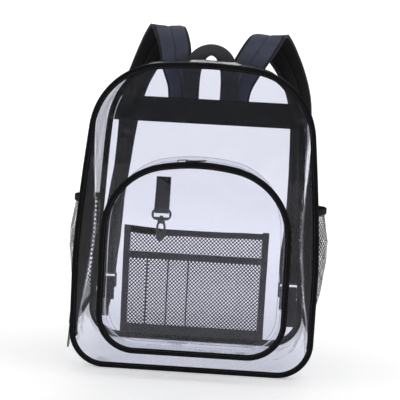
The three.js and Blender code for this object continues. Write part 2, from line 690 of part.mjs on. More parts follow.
const roundedBar = (width, height, centreX, centreZ, radius, steps = 4) => {
  const corners = [[1, -1, -90], [1, 1, 0], [-1, 1, 90], [-1, -1, 180]];
  return corners.flatMap(([sx, sz, start]) => {
    const points = [];
    for (let i = 0; i <= steps; i += 1) {
      const angle = degToRad(start + (90 * i) / steps);
      points.push([centreX + sx * (width / 2 - radius) + radius * Math.cos(angle),
        centreZ + sz * (height / 2 - radius) + radius * Math.sin(angle)]);
    }
    return points;
  });
};

const loopMiddle = loopTop - loopHeight / 2;
const slotWidth = hookStrapWidth + 4 * gap;
const slotHeight = loopHeight - 2 * loopBar;
const loopBottom = loopTop - loopHeight;
const loopPlate = plate(roundedBar(loopWidth, loopHeight, hookX, loopMiddle, loopHeight * 0.45),
  hookY - loopThickness / 2, loopThickness,
  [roundedBar(slotWidth, slotHeight, hookX, loopMiddle, 1.2, 2)]);
const lug = box(hookX - loopLug / 2, hookX + loopLug / 2, hookY - loopThickness / 2 - 0.5,
  hookY + loopThickness / 2 + 0.5, loopBottom, loopBottom + loopBar - 0.2);

const lathe = (pairs, sides = 12) => {
  const geometry = new THREE.LatheGeometry(pairs.map(([r, z]) => new THREE.Vector2(r, z)), sides);
  geometry.rotateX(Math.PI / 2);
  geometry.translate(hookX, hookY, 0);
  return weld(geometry);
};
const bore = lathe([[0, loopBottom - 2], [stemRadius + gap, loopBottom - 2],
  [stemRadius + gap, loopBottom + loopBar + 1], [0, loopBottom + loopBar + 1]]);
addPiece('hook_loop', cut(joined(loopPlate, lug), bore), greyPlastic);

const hookTop = loopBottom - gap;
const headBase = loopBottom + loopBar + gap;
const stem = lathe([[0, hookTop - 2], [stemRadius, hookTop - 2], [stemRadius, headBase],
  [headRadius, headBase], [headRadius, headBase + headHeight], [0, headBase + headHeight]]);
// Half the hook's outline from its neck to its point. wide is a share of its half width and
// down a share of hookLength.
const half = hookWidth / 2;
const neckShare = hookNeck / hookWidth;
const hookRows = [
  { wide: neckShare, down: 0 }, { wide: neckShare, down: 0.12 }, { wide: 0.9, down: 0.2 },
  { wide: 1, down: 0.5 }, { wide: 1, down: 0.72 }, { wide: 0.55, down: 0.9 }, { wide: 0, down: 1 },
];
const hookHalf = hookRows.map(({ wide, down }) => [wide * half, -down * hookLength]);
const hookShape = [...hookHalf, ...hookHalf.slice(0, -1).reverse().map(([x, z]) => [-x, z])]
  .map(([x, z]) => [hookX + x, hookTop + z]).reverse();
const windowMiddle = hookTop - hookWindowDrop - hookWindowHeight / 2;
const hookPlate = plate(hookShape, hookY - hookThickness / 2, hookThickness,
  [roundedBar(hookWindowWidth, hookWindowHeight, hookX, windowMiddle, hookWindowWidth * 0.45, 3)]);
const gateSlit = box(hookX - half - 1, hookX - hookWindowWidth * 0.3, hookY - hookThickness,
  hookY + hookThickness, windowMiddle - hookWindowHeight * 0.3 - hookGateSlit,
  windowMiddle - hookWindowHeight * 0.3);
addPiece('hook_body', cut(joined(hookPlate, stem), gateSlit), greyPlastic);

// Yoke on the back panel, inside the back binding
const yokeInset = bindingWidth + gap;
function widthAt(z, inset, draw) {
  const side = bagOutline.filter((s) => s.x > 0).map((s) => [s.x + s.nx * (draw(s) - inset),
    s.z + s.nz * (draw(s) - inset)]);
  for (let i = 1; i < side.length; i += 1) {
    const [a, b] = [side[i - 1], side[i]];
    if (a[1] <= z && z <= b[1] && b[1] > a[1] && a[0] > bagHalfWidth / 2) {
      return a[0] + (b[0] - a[0]) * ((z - a[1]) / (b[1] - a[1]));
    }
  }
  return side[side.length - 1][0];
}
const yokeLevels = [0, 1 / 3, 2 / 3, 1].map((t) => yokeBase + yokeHeight * t);
const yokeSide = yokeLevels.map((z) => [widthAt(z, yokeInset + gap, backDraw), z]);
const yokeFront = bagDepth + gap;
addPiece('yoke_band', plate([...yokeSide, ...yokeSide.slice().reverse().map(([x, z]) => [-x, z])],
  yokeFront, yokeWall), yokeBlack);

// Haul loop: its ends lie flat on the yoke, and it turns on edge over the top
const yokeFace = yokeFront + yokeWall;
const haulFrames = [];
const haulSteps = 24;
const haulFlat = yokeFace + gap + haulWall / 2;
const haulTurn = degToRad(80);
const haulTilt = degToRad(28);
for (let i = 0; i <= haulSteps; i += 1) {
  const t = i / haulSteps;
  const around = Math.PI * t;
  const arch = Math.sin(around);
  const x = haulX + haulHalfSpan * Math.cos(around) * (1 + 0.1 * arch);
  const z = haulRoot + (haulTop - haulRoot) * Math.sqrt(arch);
  const turn = haulTurn * arch ** 5;
  const y = haulFlat + (haulWidth / 2) * Math.sin(turn);
  haulFrames.push({ point: new THREE.Vector3(x, y, z), turn });
}
addPiece('haul_loop', sweep(ribbonFrames(haulFrames.map((f) => f.point), (i) => {
  const { turn } = haulFrames[i];
  const side = i < haulSteps / 2 ? 1 : -1;
  return new THREE.Vector3(side * Math.cos(turn), Math.sin(turn) * Math.cos(haulTilt),
    Math.sin(turn) * Math.sin(haulTilt));
}), () => ribbonProfile(haulWidth, haulWall)), webGrey);

// Shoulder straps: padded, sewn on the yoke, over the top and down behind the back panel
const strapSteps = 31;

function strapFrames(side) {
  const curve = new THREE.CatmullRomCurve3(strapRows.map((row) => new THREE.Vector3(
    side * (row.across - (side < 0 ? row.lean : 0)) * bagHalfWidth,
    row.back * bagDepth,
    (row.up + (side < 0 ? row.lift : 0)) * bagHeight,
  )), false, 'centripetal');
  const rowAt = (key, t) => {
    const place = t * (strapRows.length - 1);
    const i = Math.min(Math.floor(place), strapRows.length - 2);
    return lerp(strapRows[i][key], strapRows[i + 1][key], place - i);
  };
  const points = [];
  const turns = [];
  const sizes = [];
  for (let i = 0; i <= strapSteps; i += 1) {
    const t = i / strapSteps;
    points.push(curve.getPoint(t));
    turns.push(degToRad(rowAt('turn', t)));
    sizes.push(rowAt('size', t));
  }
  const frames = ribbonFrames(points,
    (i) => new THREE.Vector3(Math.cos(turns[i]), side * Math.sin(turns[i]), 0));
  return frames.map((frame, i) => ({ ...frame, size: sizes[i] }));
}

// A padded section: flat in the middle and thin at its two bound edges
function paddedProfile(width, thickness) {
  const half = [[0.18, 1], [0.42, 0.93], [0.5, 0.68]];
  const upper = half.map(([out, across]) => [out * thickness, (across * width) / 2]);
  const over = [...upper, ...upper.slice().reverse().map(([out, across]) => [out, -across])];
  return [...over, ...over.slice().reverse().map(([out, across]) => [-out, across])];
}

const strapEnd = strapRows[strapRows.length - 1];
const adjusterX = strapEnd.across * bagHalfWidth;
const adjusterY = strapEnd.back * bagDepth;
const adjusterTop = strapEnd.up * bagHeight - gap;
const adjusterLow = adjusterTop - adjusterHeight;
const adjusterSlot = (adjusterHeight - 3 * adjusterBar) / 2;

for (const [name, side] of [['left', -1], ['right', 1]]) {
  addPiece(`shoulder_strap_${name}`, sweep(strapFrames(side),
    ({ size }) => paddedProfile(strapWidth * size, strapThickness)), strapNavy);

  const x = side * adjusterX;
  const slotHalf = lowerWebWidth / 2 + 2 * gap;
  const slotOf = (low) => rectangle(x - slotHalf, x + slotHalf, low, low + adjusterSlot);
  addPiece(`strap_adjuster_${name}`, plate(
    roundedBar(adjusterWidth, adjusterHeight, x, adjusterTop - adjusterHeight / 2, 3, 3),
    adjusterY - adjusterThickness / 2, adjusterThickness,
    [slotOf(adjusterLow + adjusterBar), slotOf(adjusterLow + 2 * adjusterBar + adjusterSlot)]),
  greyPlastic);

  // The webbing comes up from the back panel's corner, over the middle bar and hangs down
  const reach = adjusterThickness / 2 + gap + webWall / 2;
  const turnZ = adjusterLow + 2 * adjusterBar + adjusterSlot;
  const footY = bagDepth + gap + bindingLip + gap + webWall / 2;
  const footX = x + side * 5;
  const line = [
    new THREE.Vector3(footX, footY, lowerWebFoot),
    new THREE.Vector3(footX, footY, lowerWebFoot + lowerWebSewn),
    new THREE.Vector3(x, adjusterY - reach, adjusterLow),
  ];
  for (let i = 0; i <= wrapSteps; i += 1) {
    const angle = Math.PI * (1 - i / wrapSteps);
    line.push(new THREE.Vector3(x, adjusterY + reach * Math.cos(angle), turnZ + reach * Math.sin(angle)));
  }
  line.push(new THREE.Vector3(x, adjusterY + reach, adjusterLow),
    new THREE.Vector3(x, adjusterY + reach, adjusterLow - lowerWebTail));
  addPiece(`lower_webbing_${name}`, sweep(ribbonFrames(line, () => new THREE.Vector3(1, 0, 0)),
    () => ribbonProfile(lowerWebWidth, webWall)), webGrey);
}

// Side pockets: a bulging net with an elastic hem at its mouth and a tape along its foot
const rightSide = bagOutline.filter((s) => s.x > bagHalfWidth / 2 && s.z > 0 && s.nx > 0.5);

function sidePoint(side, z, y, lift) {
  const i = Math.max(1, rightSide.findIndex((s) => s.z >= z));
  const [a, b] = [rightSide[i - 1], rightSide[i]];
  const t = (z - a.z) / (b.z - a.z);
  const [outA, outB] = [a, b].map((s) => bagSide.at(s, y) + gussetLift + lift);
  return new THREE.Vector3(side * lerp(a.x + a.nx * outA, b.x + b.nx * outB, t), y,
    lerp(a.z + a.nz * outA, b.z + b.nz * outB, t));
}

const sideNetFront = zipBack + gap + webWall;
const sideNetBack = bagDepth - bindingReach - gap - webWall;

function bulgeAt(z) {
  const rise = (z - sideNetBase) / (sideNetTop - sideNetBase);
  const i = Math.max(1, sideNetRows.findIndex((row) => row.rise >= Math.min(rise, 1) - 1e-9));
  const [a, b] = [sideNetRows[i - 1], sideNetRows[i]];
  return sideNetBulge * lerp(a.bulge, b.bulge, (rise - a.rise) / (b.rise - a.rise));
}

function sideSheet(side, levels, thickness, bulged) {
  const depths = 14;
  return sheet(levels.map((z) => {
    const line = [];
    for (let j = 0; j <= depths; j += 1) {
      const share = j / depths;
      const y = lerp(sideNetFront, sideNetBack, share);
      const swell = bulged ? bulgeAt(z) * Math.sin(Math.PI * share) ** 0.7 : 0;
      line.push(sidePoint(side, z, y, 2 * gap + thickness / 2 + swell));
    }
    return line;
  }), thickness);
}

const hemLow = sideNetTop - sideHemHeight;
const netTop = hemLow - gap;
const netLevels = [...sideNetRows.map((row) => sideNetBase + row.rise * (sideNetTop - sideNetBase))
  .filter((z) => z < netTop - 2), netTop];
const baseTapeHeight = 9;
const baseLevels = [sideNetBase - gap - baseTapeHeight, sideNetBase - gap];
for (const [name, side] of [['left', -1], ['right', 1]]) {
  addPiece(`side_net_${name}`, sideSheet(side, netLevels, netWall, true), netBlack);
  addPiece(`side_net_hem_${name}`, sideSheet(side, [hemLow, sideNetTop], webWall, true), blackTape);
  addPiece(`side_net_base_${name}`, sideSheet(side, baseLevels, tapeWall, false), blackTape);
}

// The origin is the middle of the footprint, on the surface that the bag stands on
const extent = new THREE.Box3().setFromObject(group);
group.position.set(-(extent.min.x + extent.max.x) / 2, -(extent.min.y + extent.max.y) / 2, -extent.min.z);

export default group;
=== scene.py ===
"""Looks of the clear stadium backpack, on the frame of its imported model.

Metres, +Z up, +X to the right, the front faces -Y. Sizes are written in millimetres and scaled
by MM, with y = 0 on the front panel and z = 0 under the base, as the bag itself is measured.
"""
import math

import bpy
from mathutils import Matrix, Vector, noise


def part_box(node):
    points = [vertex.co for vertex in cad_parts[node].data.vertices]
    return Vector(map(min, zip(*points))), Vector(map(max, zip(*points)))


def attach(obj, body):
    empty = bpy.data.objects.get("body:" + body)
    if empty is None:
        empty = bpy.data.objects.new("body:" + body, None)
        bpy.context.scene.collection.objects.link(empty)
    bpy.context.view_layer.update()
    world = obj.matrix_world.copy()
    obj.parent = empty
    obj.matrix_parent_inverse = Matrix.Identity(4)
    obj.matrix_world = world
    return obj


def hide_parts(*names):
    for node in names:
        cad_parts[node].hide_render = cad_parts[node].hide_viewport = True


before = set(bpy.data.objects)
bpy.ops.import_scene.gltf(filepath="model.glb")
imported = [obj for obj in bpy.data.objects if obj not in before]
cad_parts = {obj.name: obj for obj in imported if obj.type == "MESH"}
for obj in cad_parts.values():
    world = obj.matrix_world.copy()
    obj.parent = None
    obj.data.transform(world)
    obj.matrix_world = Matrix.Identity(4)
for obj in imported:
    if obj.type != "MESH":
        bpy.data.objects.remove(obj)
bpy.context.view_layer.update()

MM = 0.001
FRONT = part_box("front_panel")[0][1] / MM

# Main bag
BAG = {
    "half_width": 163, "height": 410, "base": 0, "bottom_radius": 48, "top_radius": 95,
    "draw_in": 15, "crown_rise": 3, "lean": 6.6,
}
BAG_DEPTH = 150
CROWN_LIFT = 15
WAIST_DRAW = 18
WAIST_SHARE = 0.86
STRAIGHT_SHARE = 0.6
BAG_ZIP_FROM = 31

# Front pocket
POCKET = {
    "half_width": 122, "height": 250, "base": 34, "bottom_radius": 50, "top_radius": 90,
    "draw_in": 1, "crown_rise": 3, "lean": 4.6,
}
POCKET_DEPTH = 40
POCKET_FRONT = -POCKET_DEPTH
POCKET_SEAM_RISE = 7
POCKET_TAPER = 4.5
POCKET_DIP = 5
POCKET_ZIP_FROM = 98.4

# Bindings and zips
BINDING_WIDTH = 8
BINDING_LIP = 1.8
BINDING_REACH = 6
BINDING_WALL = 1.6
BINDING_STITCH_IN = 2.0
GAP = 0.3
BAG_TAPE_WIDTH = 29.7
POCKET_TAPE_WIDTH = 22
ZIP_OVERLAP = 5
COIL_WIDTH = 6
COIL_HEIGHT = 1.6
BAG_COIL_DEPTH = 0.14 * BAG_DEPTH
TAPE_LIFT = -0.6
ZIP_TAPE_WALL = 0.6
ZIP_STITCH_IN = (3, 2.5)
GUSSET_LIFT = -1.9
COIL_LIFT = 0.0
TOOTH_PITCH = 2.0
TOOTH_NARROW = 0.86
TOOTH_HALF_LENGTH = 0.34
# A tooth's section, as shares of half its width and half its height
TOOTH_SECTION = ((-1, -1), (1, -1), (1, 0.2), (0.6, 1), (-0.6, 1), (-1, 0.2))

# Organiser
ORGANISER = {
    "half": 95, "base": 51, "height": 144, "top_band": 8, "side_band": 8.5, "bottom_band": 13,
    "bar_band": 9, "bar_drop": 26, "seam": 2, "top_sag": 3.5,
}
ORGANISER_SEAMS = (-0.66, -0.37, -0.09)

# Hook strap
HOOK_X = -46.5
HOOK_OUT = 10.5
HOOK_STRAP_WIDTH = 19
HOOK_STRAP_TOP = 261
HOOK_STRAP_SEWN = 12
HOOK_FOLD = 11
LOOP_TOP = 220.2
LOOP_BAR = 3.8
LOOP_THICKNESS = 4

# Yoke, haul loop, straps and webbing
YOKE_BASE = 331
YOKE_HEIGHT = 37
YOKE_WALL = 1.5
YOKE_CLOTH = 1.2
YOKE_CREASE = 0.35
HAUL = {
    "x": 3, "half_span": 28, "top": 442, "width": 25, "wall": 2.4, "root": 352, "turn": 80, "tilt": 46,
}
STRAP_WIDTH = 48
STRAP_THICKNESS = 9
# A strap's seams: name, how far out as a share of its thickness, and across as one of half its width
STRAP_SEAMS = (
    ("middle_a", 0.33, 0.0), ("middle_b", -0.31, 0.0), ("edge_a", 0.25, 0.90), ("edge_b", 0.25, -0.90),
)
ADJUSTER_HEIGHT = 24
ADJUSTER_THICKNESS = 4
ADJUSTER_BAR = 3.2
WEB_WIDTH = 25
WEB_WALL = 1.4
WEB_TAIL = 20
WEB_FOOT = 30
WEB_SEWN = 12
WEB_FOOT_OUT = 5

# Side nets
NET_BASE = 64
NET_TOP = 221
NET_BULGE = 38
HEM_HEIGHT = 8
NET_BASE_TAPE = 9
NET_PITCH = 4.9
NET_HOLE = 0.6
SIDE_NET_PITCH = 6.6
SIDE_NET_HOLE = 0.6
NET_GATHER = 1.32
NET_PULL = 0.5
NET_PULL_FADE = 20
NET_OFF, HEM_OFF, NET_BASE_OFF = 1.0, 1.3, 1.1
HEM_RIPPLE = 0.35

# How far the gusset is drawn in and the crown lifted, by depth, as shares of BAG_DEPTH,
# WAIST_DRAW and CROWN_LIFT
GUSSET_ROWS = (
    (0.00, 0.00, 0.00), (0.04, 0.00, 0.00), (0.14, 0.50, 0.04), (0.235, 1.00, 0.14),
    (0.43, 0.93, 0.50), (0.63, 0.75, 0.82), (0.83, 0.50, 1.00), (1.00, 0.30, 1.00),
)
# The pocket's gusset by depth: its dip and its spread towards the seam
POCKET_ROWS = (
    (0.00, 0.00, 0.00), (0.16, 0.10, 0.00), (0.30, 1.00, 0.05),
    (0.58, 1.00, 0.20), (0.78, 0.40, 0.60), (1.00, 0.00, 1.00),
)
# The side nets' bulge by height, as shares of the net's height and NET_BULGE
NET_ROWS = (
    (0.00, 0.02), (0.07, 0.42), (0.22, 0.66), (0.40, 0.84), (0.55, 0.96),
    (0.70, 1.00), (0.85, 0.92), (0.95, 0.85), (1.00, 0.92),
)
# A strap's middle line: across, back and up as shares of the bag, turn in degrees, the share
# of the strap's width, and how far the left strap leans in and lifts
STRAP_ROWS = (
    (0.235, 1.066, 0.815, 0, 0.90, 0.025, 0.000),
    (0.245, 1.066, 0.880, 0, 0.90, 0.022, 0.000),
    (0.270, 1.074, 0.950, 2, 0.92, 0.030, 0.001),
    (0.350, 1.095, 1.020, 3, 0.95, 0.050, 0.004),
    (0.430, 1.135, 1.075, 4, 1.00, 0.105, 0.008),
    (0.500, 1.200, 1.118, 4, 1.00, 0.135, 0.012),
    (0.545, 1.300, 1.140, 6, 1.00, 0.140, 0.015),
    (0.600, 1.405, 1.130, 10, 1.00, 0.145, 0.016),
    (0.690, 1.475, 1.085, 16, 1.00, 0.155, 0.014),
    (0.785, 1.490, 1.020, 24, 1.00, 0.165, 0.010),
    (0.860, 1.450, 0.940, 34, 1.00, 0.160, 0.006),
    (0.895, 1.385, 0.850, 44, 1.00, 0.155, 0.003),
    (0.890, 1.315, 0.750, 52, 1.00, 0.130, 0.001),
    (0.885, 1.255, 0.640, 56, 1.00, 0.105, 0.000),
    (0.885, 1.210, 0.520, 54, 0.98, 0.070, 0.000),
    (0.880, 1.170, 0.400, 44, 0.90, 0.040, 0.000),
    (0.865, 1.125, 0.300, 22, 0.72, 0.000, 0.000),
    (0.865, 1.110, 0.255, 6, 0.62, 0.000, 0.000),
    (0.865, 1.110, 0.235, 0, 0.60, 0.000, 0.000),
)

# Stitches: the sides of a thread, and its thickness and lift at its start, middle and end
STITCH_SIDES = 5
STITCH_RINGS = ((0.35, -0.2), (1.0, 0.7), (0.35, -0.2))

# Panels: their grid, where they lie in the bindings and how far in from their edge they lie flat
PANEL_ROWS, PANEL_COLUMNS = 60, 40
SHEET_INSET = 0.6
PANEL_FADE = 25

# How fine the creases are, per millimetre
PANEL_FINENESS = 0.012
GUSSET_FINENESS = 0.028
TAPE_FINENESS = 0.05
CLOTH_FINENESS = 0.03
NET_FINENESS = 0.02

# Tapes: those from STITCHED_FROM in width are stitched, and RIBBON_ROUNDING is a share of thickness
TAPE_WOBBLE = 0.35
TAPE_STEP = 6
TAPE_STITCH_IN = 1.4
STITCHED_FROM = 5
RIBBON_ROUNDING = 0.35

# Small lengths that keep a search inside its line and a division from nothing
HAIR = 0.01
TINY = 1e-9

FORWARD = Vector((0, -1, 0))


def at(x, y, z):
    """A point of the bag, in millimetres, as a point of the frame in metres."""
    return Vector((x * MM, (y + FRONT) * MM, z * MM))


def lerp(a, b, t):
    return a + (b - a) * t


def table_at(rows, place, column=1):
    """Reads a column of a table at a place in its first column, along straight lines."""
    for a, b in zip(rows, rows[1:]):
        if place <= b[0] or b is rows[-1]:
            return lerp(a[column], b[column], (place - a[0]) / (b[0] - a[0]))


# Camera
EYE = (29.6, -988, 336.9)
YAW, PITCH, ROLL = (math.radians(a) for a in (1.6, 6.0, 3.2))
FOCAL_PX = 760
FRAME_PX = 400


def make_camera():
    """The camera stands where the photograph's stood: a little to the right and above."""
    data = bpy.data.cameras.new("camera")
    data.lens = data.sensor_width * FOCAL_PX / FRAME_PX
    data.dof.use_dof = False
    data.clip_start, data.clip_end = 0.05, 50
    camera = bpy.data.objects.new("camera", data)
    bpy.context.scene.collection.objects.link(camera)
    forward = Vector((-math.sin(YAW) * math.cos(PITCH), math.cos(YAW) * math.cos(PITCH), -math.sin(PITCH)))
    right = forward.cross(Vector((0, 0, 1))).normalized()
    up = right.cross(forward)
    rolled_right = right * math.cos(ROLL) + up * math.sin(ROLL)
    rolled_up = up * math.cos(ROLL) - right * math.sin(ROLL)
    turn = Matrix((rolled_right, rolled_up, -forward)).transposed()
    camera.matrix_world = Matrix.Translation(at(*EYE)) @ turn.to_4x4()
    bpy.context.scene.camera = camera


make_camera()


# Materials
class Nodes:
    """A material's node tree with its Principled shader, built node by node."""

    def __init__(self, name):
        self.material = bpy.data.materials.new(name)
        self.material.use_nodes = True
        self.tree = self.material.node_tree
        self.shader = self.tree.nodes["Principled BSDF"]
        self.output = self.tree.nodes["Material Output"]

    def add(self, kind, inputs=(), **settings):
        node = self.tree.nodes.new(kind)
        for key, value in settings.items():
            setattr(node, key, value)
        for socket, value in inputs:
            self.put(node, socket, value)
        return node

    def put(self, node, socket, value):
        if isinstance(value, bpy.types.NodeSocket):
            self.tree.links.new(value, node.inputs[socket])
        else:
            node.inputs[socket].default_value = value

    def math(self, operation, *values):
        node = self.add("ShaderNodeMath", operation=operation)
        for i, value in enumerate(values):
            self.put(node, i, value)
        return node.outputs[0]

    def ramp(self, value, stops):
        node = self.add("ShaderNodeValToRGB", [("Fac", value)])
        elements = node.color_ramp.elements
        while len(elements) < len(stops):
            elements.new(0.5)
        for element, (place, color) in zip(elements, stops):
            element.position = place
            element.color = (*color, 1)
        return node.outputs["Color"]

    def noise(self, scale, detail):
        place = self.add("ShaderNodeTexCoord").outputs["Object"]
        inputs = [("Scale", scale), ("Detail", detail), ("Vector", place)]
        return self.add("ShaderNodeTexNoise", inputs).outputs["Fac"]

    def uv(self, along, across):
        """The piece's own run in threads: u along it and v across it, both in metres."""
        source = self.add("ShaderNodeTexCoord").outputs["UV"]
        return self.add("ShaderNodeMapping", [("Vector", source), ("Scale", (along, across, 1))]).outputs[0]

    def bump(self, height, distance, strength=1.0, normal=None):
        inputs = [("Height", height), ("Distance", distance), ("Strength", strength)]
        node = self.add("ShaderNodeBump", inputs)
        if normal is not None:
            self.put(node, "Normal", normal)
        return node.outputs[0]


def srgb(code):
    """A colour written as six hexadecimal digits, as linear light."""
    parts = [int(code[i:i + 2], 16) / 255 for i in (0, 2, 4)]
    return tuple(p / 12.92 if p <= 0.04045 else ((p + 0.055) / 1.055) ** 2.4 for p in parts)


def woven(name, dark, light, pitch, rib=1.0, depth=0.25, twill=0.0, sheen=0.12, rough=0.85, shine=0.3):
    """Cloth, tape or webbing: threads along and across, with worn and uneven colour, and painted shade where
    the weave lies low between the threads.
    """
    n = Nodes(name)
    uv = n.uv(1 / (pitch * MM), rib / (pitch * MM))
    split = n.add("ShaderNodeSeparateXYZ", [("Vector", uv)])
    u, v = split.outputs["X"], split.outputs["Y"]
    slanted = n.math("MULTIPLY_ADD", v, twill, u)
    over = n.math("SINE", n.math("MULTIPLY", slanted, 2 * math.pi))
    under = n.math("SINE", n.math("MULTIPLY", v, 2 * math.pi))
    crossing = n.math("MULTIPLY", over, under)
    height = n.math("MULTIPLY_ADD", crossing, 0.5, 0.5)
    patches = n.noise(28, 4)
    fibres = n.noise(900, 2)
    wear = n.math("MULTIPLY_ADD", patches, 0.5, n.math("MULTIPLY", fibres, 0.3))
    # The colour is darker where the weave's height is low: painted shade between the threads, added to the
    # random worn patches.
    wear_and_weave_shade = n.math("MULTIPLY_ADD", height, 0.35, wear)
    n.put(n.shader, "Base Color", n.ramp(wear_and_weave_shade, [(0.25, srgb(dark)), (0.85, srgb(light))]))
    n.put(n.shader, "Roughness", n.math("MULTIPLY_ADD", fibres, 0.12, rough - 0.06))
    n.put(n.shader, "Specular IOR Level", shine)
    n.put(n.shader, "Sheen Weight", sheen)
    n.put(n.shader, "Sheen Roughness", 0.45)
    soft = n.bump(patches, 0.6 * MM, 0.35)
    n.put(n.shader, "Normal", n.bump(height, depth * MM, 0.8, soft))
    return n.material


def moulded(name, dark, light, rough, coat=0.0, metal=0.0):
    """Moulded plastic or enamel: a fine grain, rubbed a little lighter in places."""
    n = Nodes(name)
    cloud = n.noise(60, 4)
    grain = n.noise(1800, 2)
    n.put(n.shader, "Base Color", n.ramp(cloud, [(0.35, srgb(dark)), (0.7, srgb(light))]))
    n.put(n.shader, "Roughness", n.math("MULTIPLY_ADD", cloud, 0.16, rough - 0.08))
    n.put(n.shader, "Metallic", metal)
    n.put(n.shader, "Coat Weight", coat)
    n.put(n.shader, "Normal", n.bump(grain, 0.04 * MM, 0.5))
    return n.material


def clear_sheet(name, tint, ripple=1.0, haze=0.0):
    """Clear soft sheet: it tints what lies behind it and shines at a slant, from both faces alike."""
    n = Nodes(name)
    waves = n.noise(9, 2)
    fine = n.noise(45, 3)
    height = n.math("MULTIPLY_ADD", fine, 0.15, waves)
    normal = n.bump(height, 6 * MM * ripple, 0.5)
    seen = n.add("ShaderNodeBsdfTransparent", [("Color", (*srgb(tint), 1))])
    n.put(n.shader, "Base Color", (0.9, 0.9, 0.95, 1))
    n.put(n.shader, "Roughness", 0.12)
    n.put(n.shader, "Specular IOR Level", 0.6)
    n.put(n.shader, "Normal", normal)
    gloss = n.add("ShaderNodeBsdfGlossy", [("Color", (1, 1, 1, 1)), ("Roughness", 0.09), ("Normal", normal)])
    slant = n.add("ShaderNodeLayerWeight", [("Blend", 0.5), ("Normal", normal)]).outputs["Facing"]
    share = n.math("MULTIPLY_ADD", n.math("POWER", slant, 4.0), 0.7, 0.025)
    shine = n.add("ShaderNodeMixShader", [(0, share), (1, seen.outputs[0]), (2, gloss.outputs[0])])
    body = n.add("ShaderNodeMixShader", [
        (0, haze), (1, shine.outputs[0]), (2, n.shader.outputs[0])])
    n.tree.links.new(body.outputs[0], n.output.inputs["Surface"])
    return n.material


CLEAR = clear_sheet("clear_sheet", "EAEBF2", haze=0.004)
CLEAR_POCKET = clear_sheet("clear_pocket_sheet", "F9F9FC", haze=0.004)
CLEAR_RIPPLED = clear_sheet("clear_rippled", "EFF0F5", ripple=3.2, haze=0.02)
TAPE = woven("binding_tape", "040405", "131316", 0.7, depth=0.12, sheen=0.03, shine=0.14)
ZIP_TAPE = woven("zip_tape", "040405", "111114", 0.6, twill=0.5, depth=0.12, sheen=0.03, shine=0.14)
TEETH = moulded("zip_teeth", "0C0C0F", "1C1C21", 0.35)
ENAMEL = moulded("black_enamel", "0B0B0D", "1C1C20", 0.28, coat=0.3, metal=0.35)
NET = woven("net_thread", "08080A", "18181B", 0.5, depth=0.05)
GREY_TAPE = woven("grey_tape", "2E2F37", "4E4F5A", 0.8, depth=0.15)
GREY_PLASTIC = moulded("grey_plastic", "2E2E36", "4C4D57", 0.36, coat=0.1)
YOKE = woven("yoke_cloth", "08090B", "191B1E", 1.0, depth=0.2, sheen=0.05, shine=0.2)
WEBBING = woven("webbing", "17181D", "34363F", 1.4, rib=0.7, depth=0.4)
LOOP_WEBBING = woven("loop_webbing", "1C1C20", "3C3D44", 1.4, rib=0.7, depth=0.4)
STRAP_OUTER = woven("strap_outer", "30333F", "565B6E", 0.9, depth=0.18)
STRAP_INNER = woven("strap_inner", "050507", "111114", 1.6, depth=0.35, sheen=0.04, shine=0.16)
STRAP_EDGE = woven("strap_edge", "14151A", "2A2C35", 0.7, depth=0.12)
THREAD = moulded("thread", "26262B", "4A4A52", 0.6)
DARK_THREAD = moulded("dark_thread", "101013", "2A2A2F", 0.6)


# Mesh helpers
def make_piece(name, points, faces, material, replaces=(), runs=None, smooth=True):
    """A mesh piece that rides on the bag. runs holds each point's place along and across."""
    mesh = bpy.data.meshes.new(name)
    mesh.from_pydata([tuple(p) for p in points], [], faces)
    if runs:
        layer = mesh.uv_layers.new(name="run")
        for loop in mesh.loops:
            layer.data[loop.index].uv = runs[loop.vertex_index]
    for m in material if isinstance(material, (list, tuple)) else [material]:
        mesh.materials.append(m)
    mesh.polygons.foreach_set("use_smooth", [smooth] * len(mesh.polygons))
    mesh.update()
    piece = bpy.data.objects.new(name, mesh)
    bpy.context.scene.collection.objects.link(piece)
    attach(piece, "bag")
    if replaces:
        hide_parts(*replaces)
    return piece


def spans(points):
    """Lengths along a line of points, starting from 0."""
    lengths = [0.0]
    for a, b in zip(points, points[1:]):
        lengths.append(lengths[-1] + (b - a).length)
    return lengths


def grid_piece(name, grid, material, replaces=(), closed=False):
    """A sheet through a grid of points. A closed grid's last row joins its first."""
    rows, columns = len(grid), len(grid[0])
    points = [p for row in grid for p in row]
    across = spans(grid[rows // 2])
    along = spans([row[columns // 2] for row in grid])
    runs = [(along[i], across[j]) for i in range(rows) for j in range(columns)]
    faces = []
    for i in range(rows if closed else rows - 1):
        below = (i + 1) % rows
        for j in range(columns - 1):
            faces.append((i * columns + j, below * columns + j, below * columns + j + 1, i * columns + j + 1))
    return make_piece(name, points, faces, material, replaces, runs)


def thicken(piece, thickness):
    """Gives a sheet its thickness in millimetres, half of it to each side."""
    solid = piece.modifiers.new("thickness", "SOLIDIFY")
    solid.thickness = thickness * MM
    solid.offset = 0


def tube_piece(name, frames, profile_of, material, replaces=(), closed=False, face_slot=None):
    """A solid swept through frames of (origin, out, across). profile_of gives [out, across]."""
    profiles = [profile_of(i) for i in range(len(frames))]
    side = len(profiles[0])
    points = [origin + out * a + across * b
              for (origin, out, across), profile in zip(frames, profiles) for a, b in profile]
    along = spans([f[0] for f in frames])
    around = spans([Vector((a, b, 0)) for a, b in profiles[len(profiles) // 2]])
    runs = [(along[i], around[j]) for i in range(len(frames)) for j in range(side)]
    faces = []
    slots = []
    for i in range(len(frames) if closed else len(frames) - 1):
        after = (i + 1) % len(frames)
        for j in range(side):
            beside = (j + 1) % side
            faces.append((i * side + j, i * side + beside, after * side + beside, after * side + j))
            slots.append(face_slot(j) if face_slot else 0)
    if not closed:
        faces.append(tuple(range(side)))
        faces.append(tuple(len(points) - side + j for j in reversed(range(side))))
        slots += [0, 0]
    piece = make_piece(name, points, faces, material, replaces, runs)
    piece.data.polygons.foreach_set("material_index", slots)
    return piece


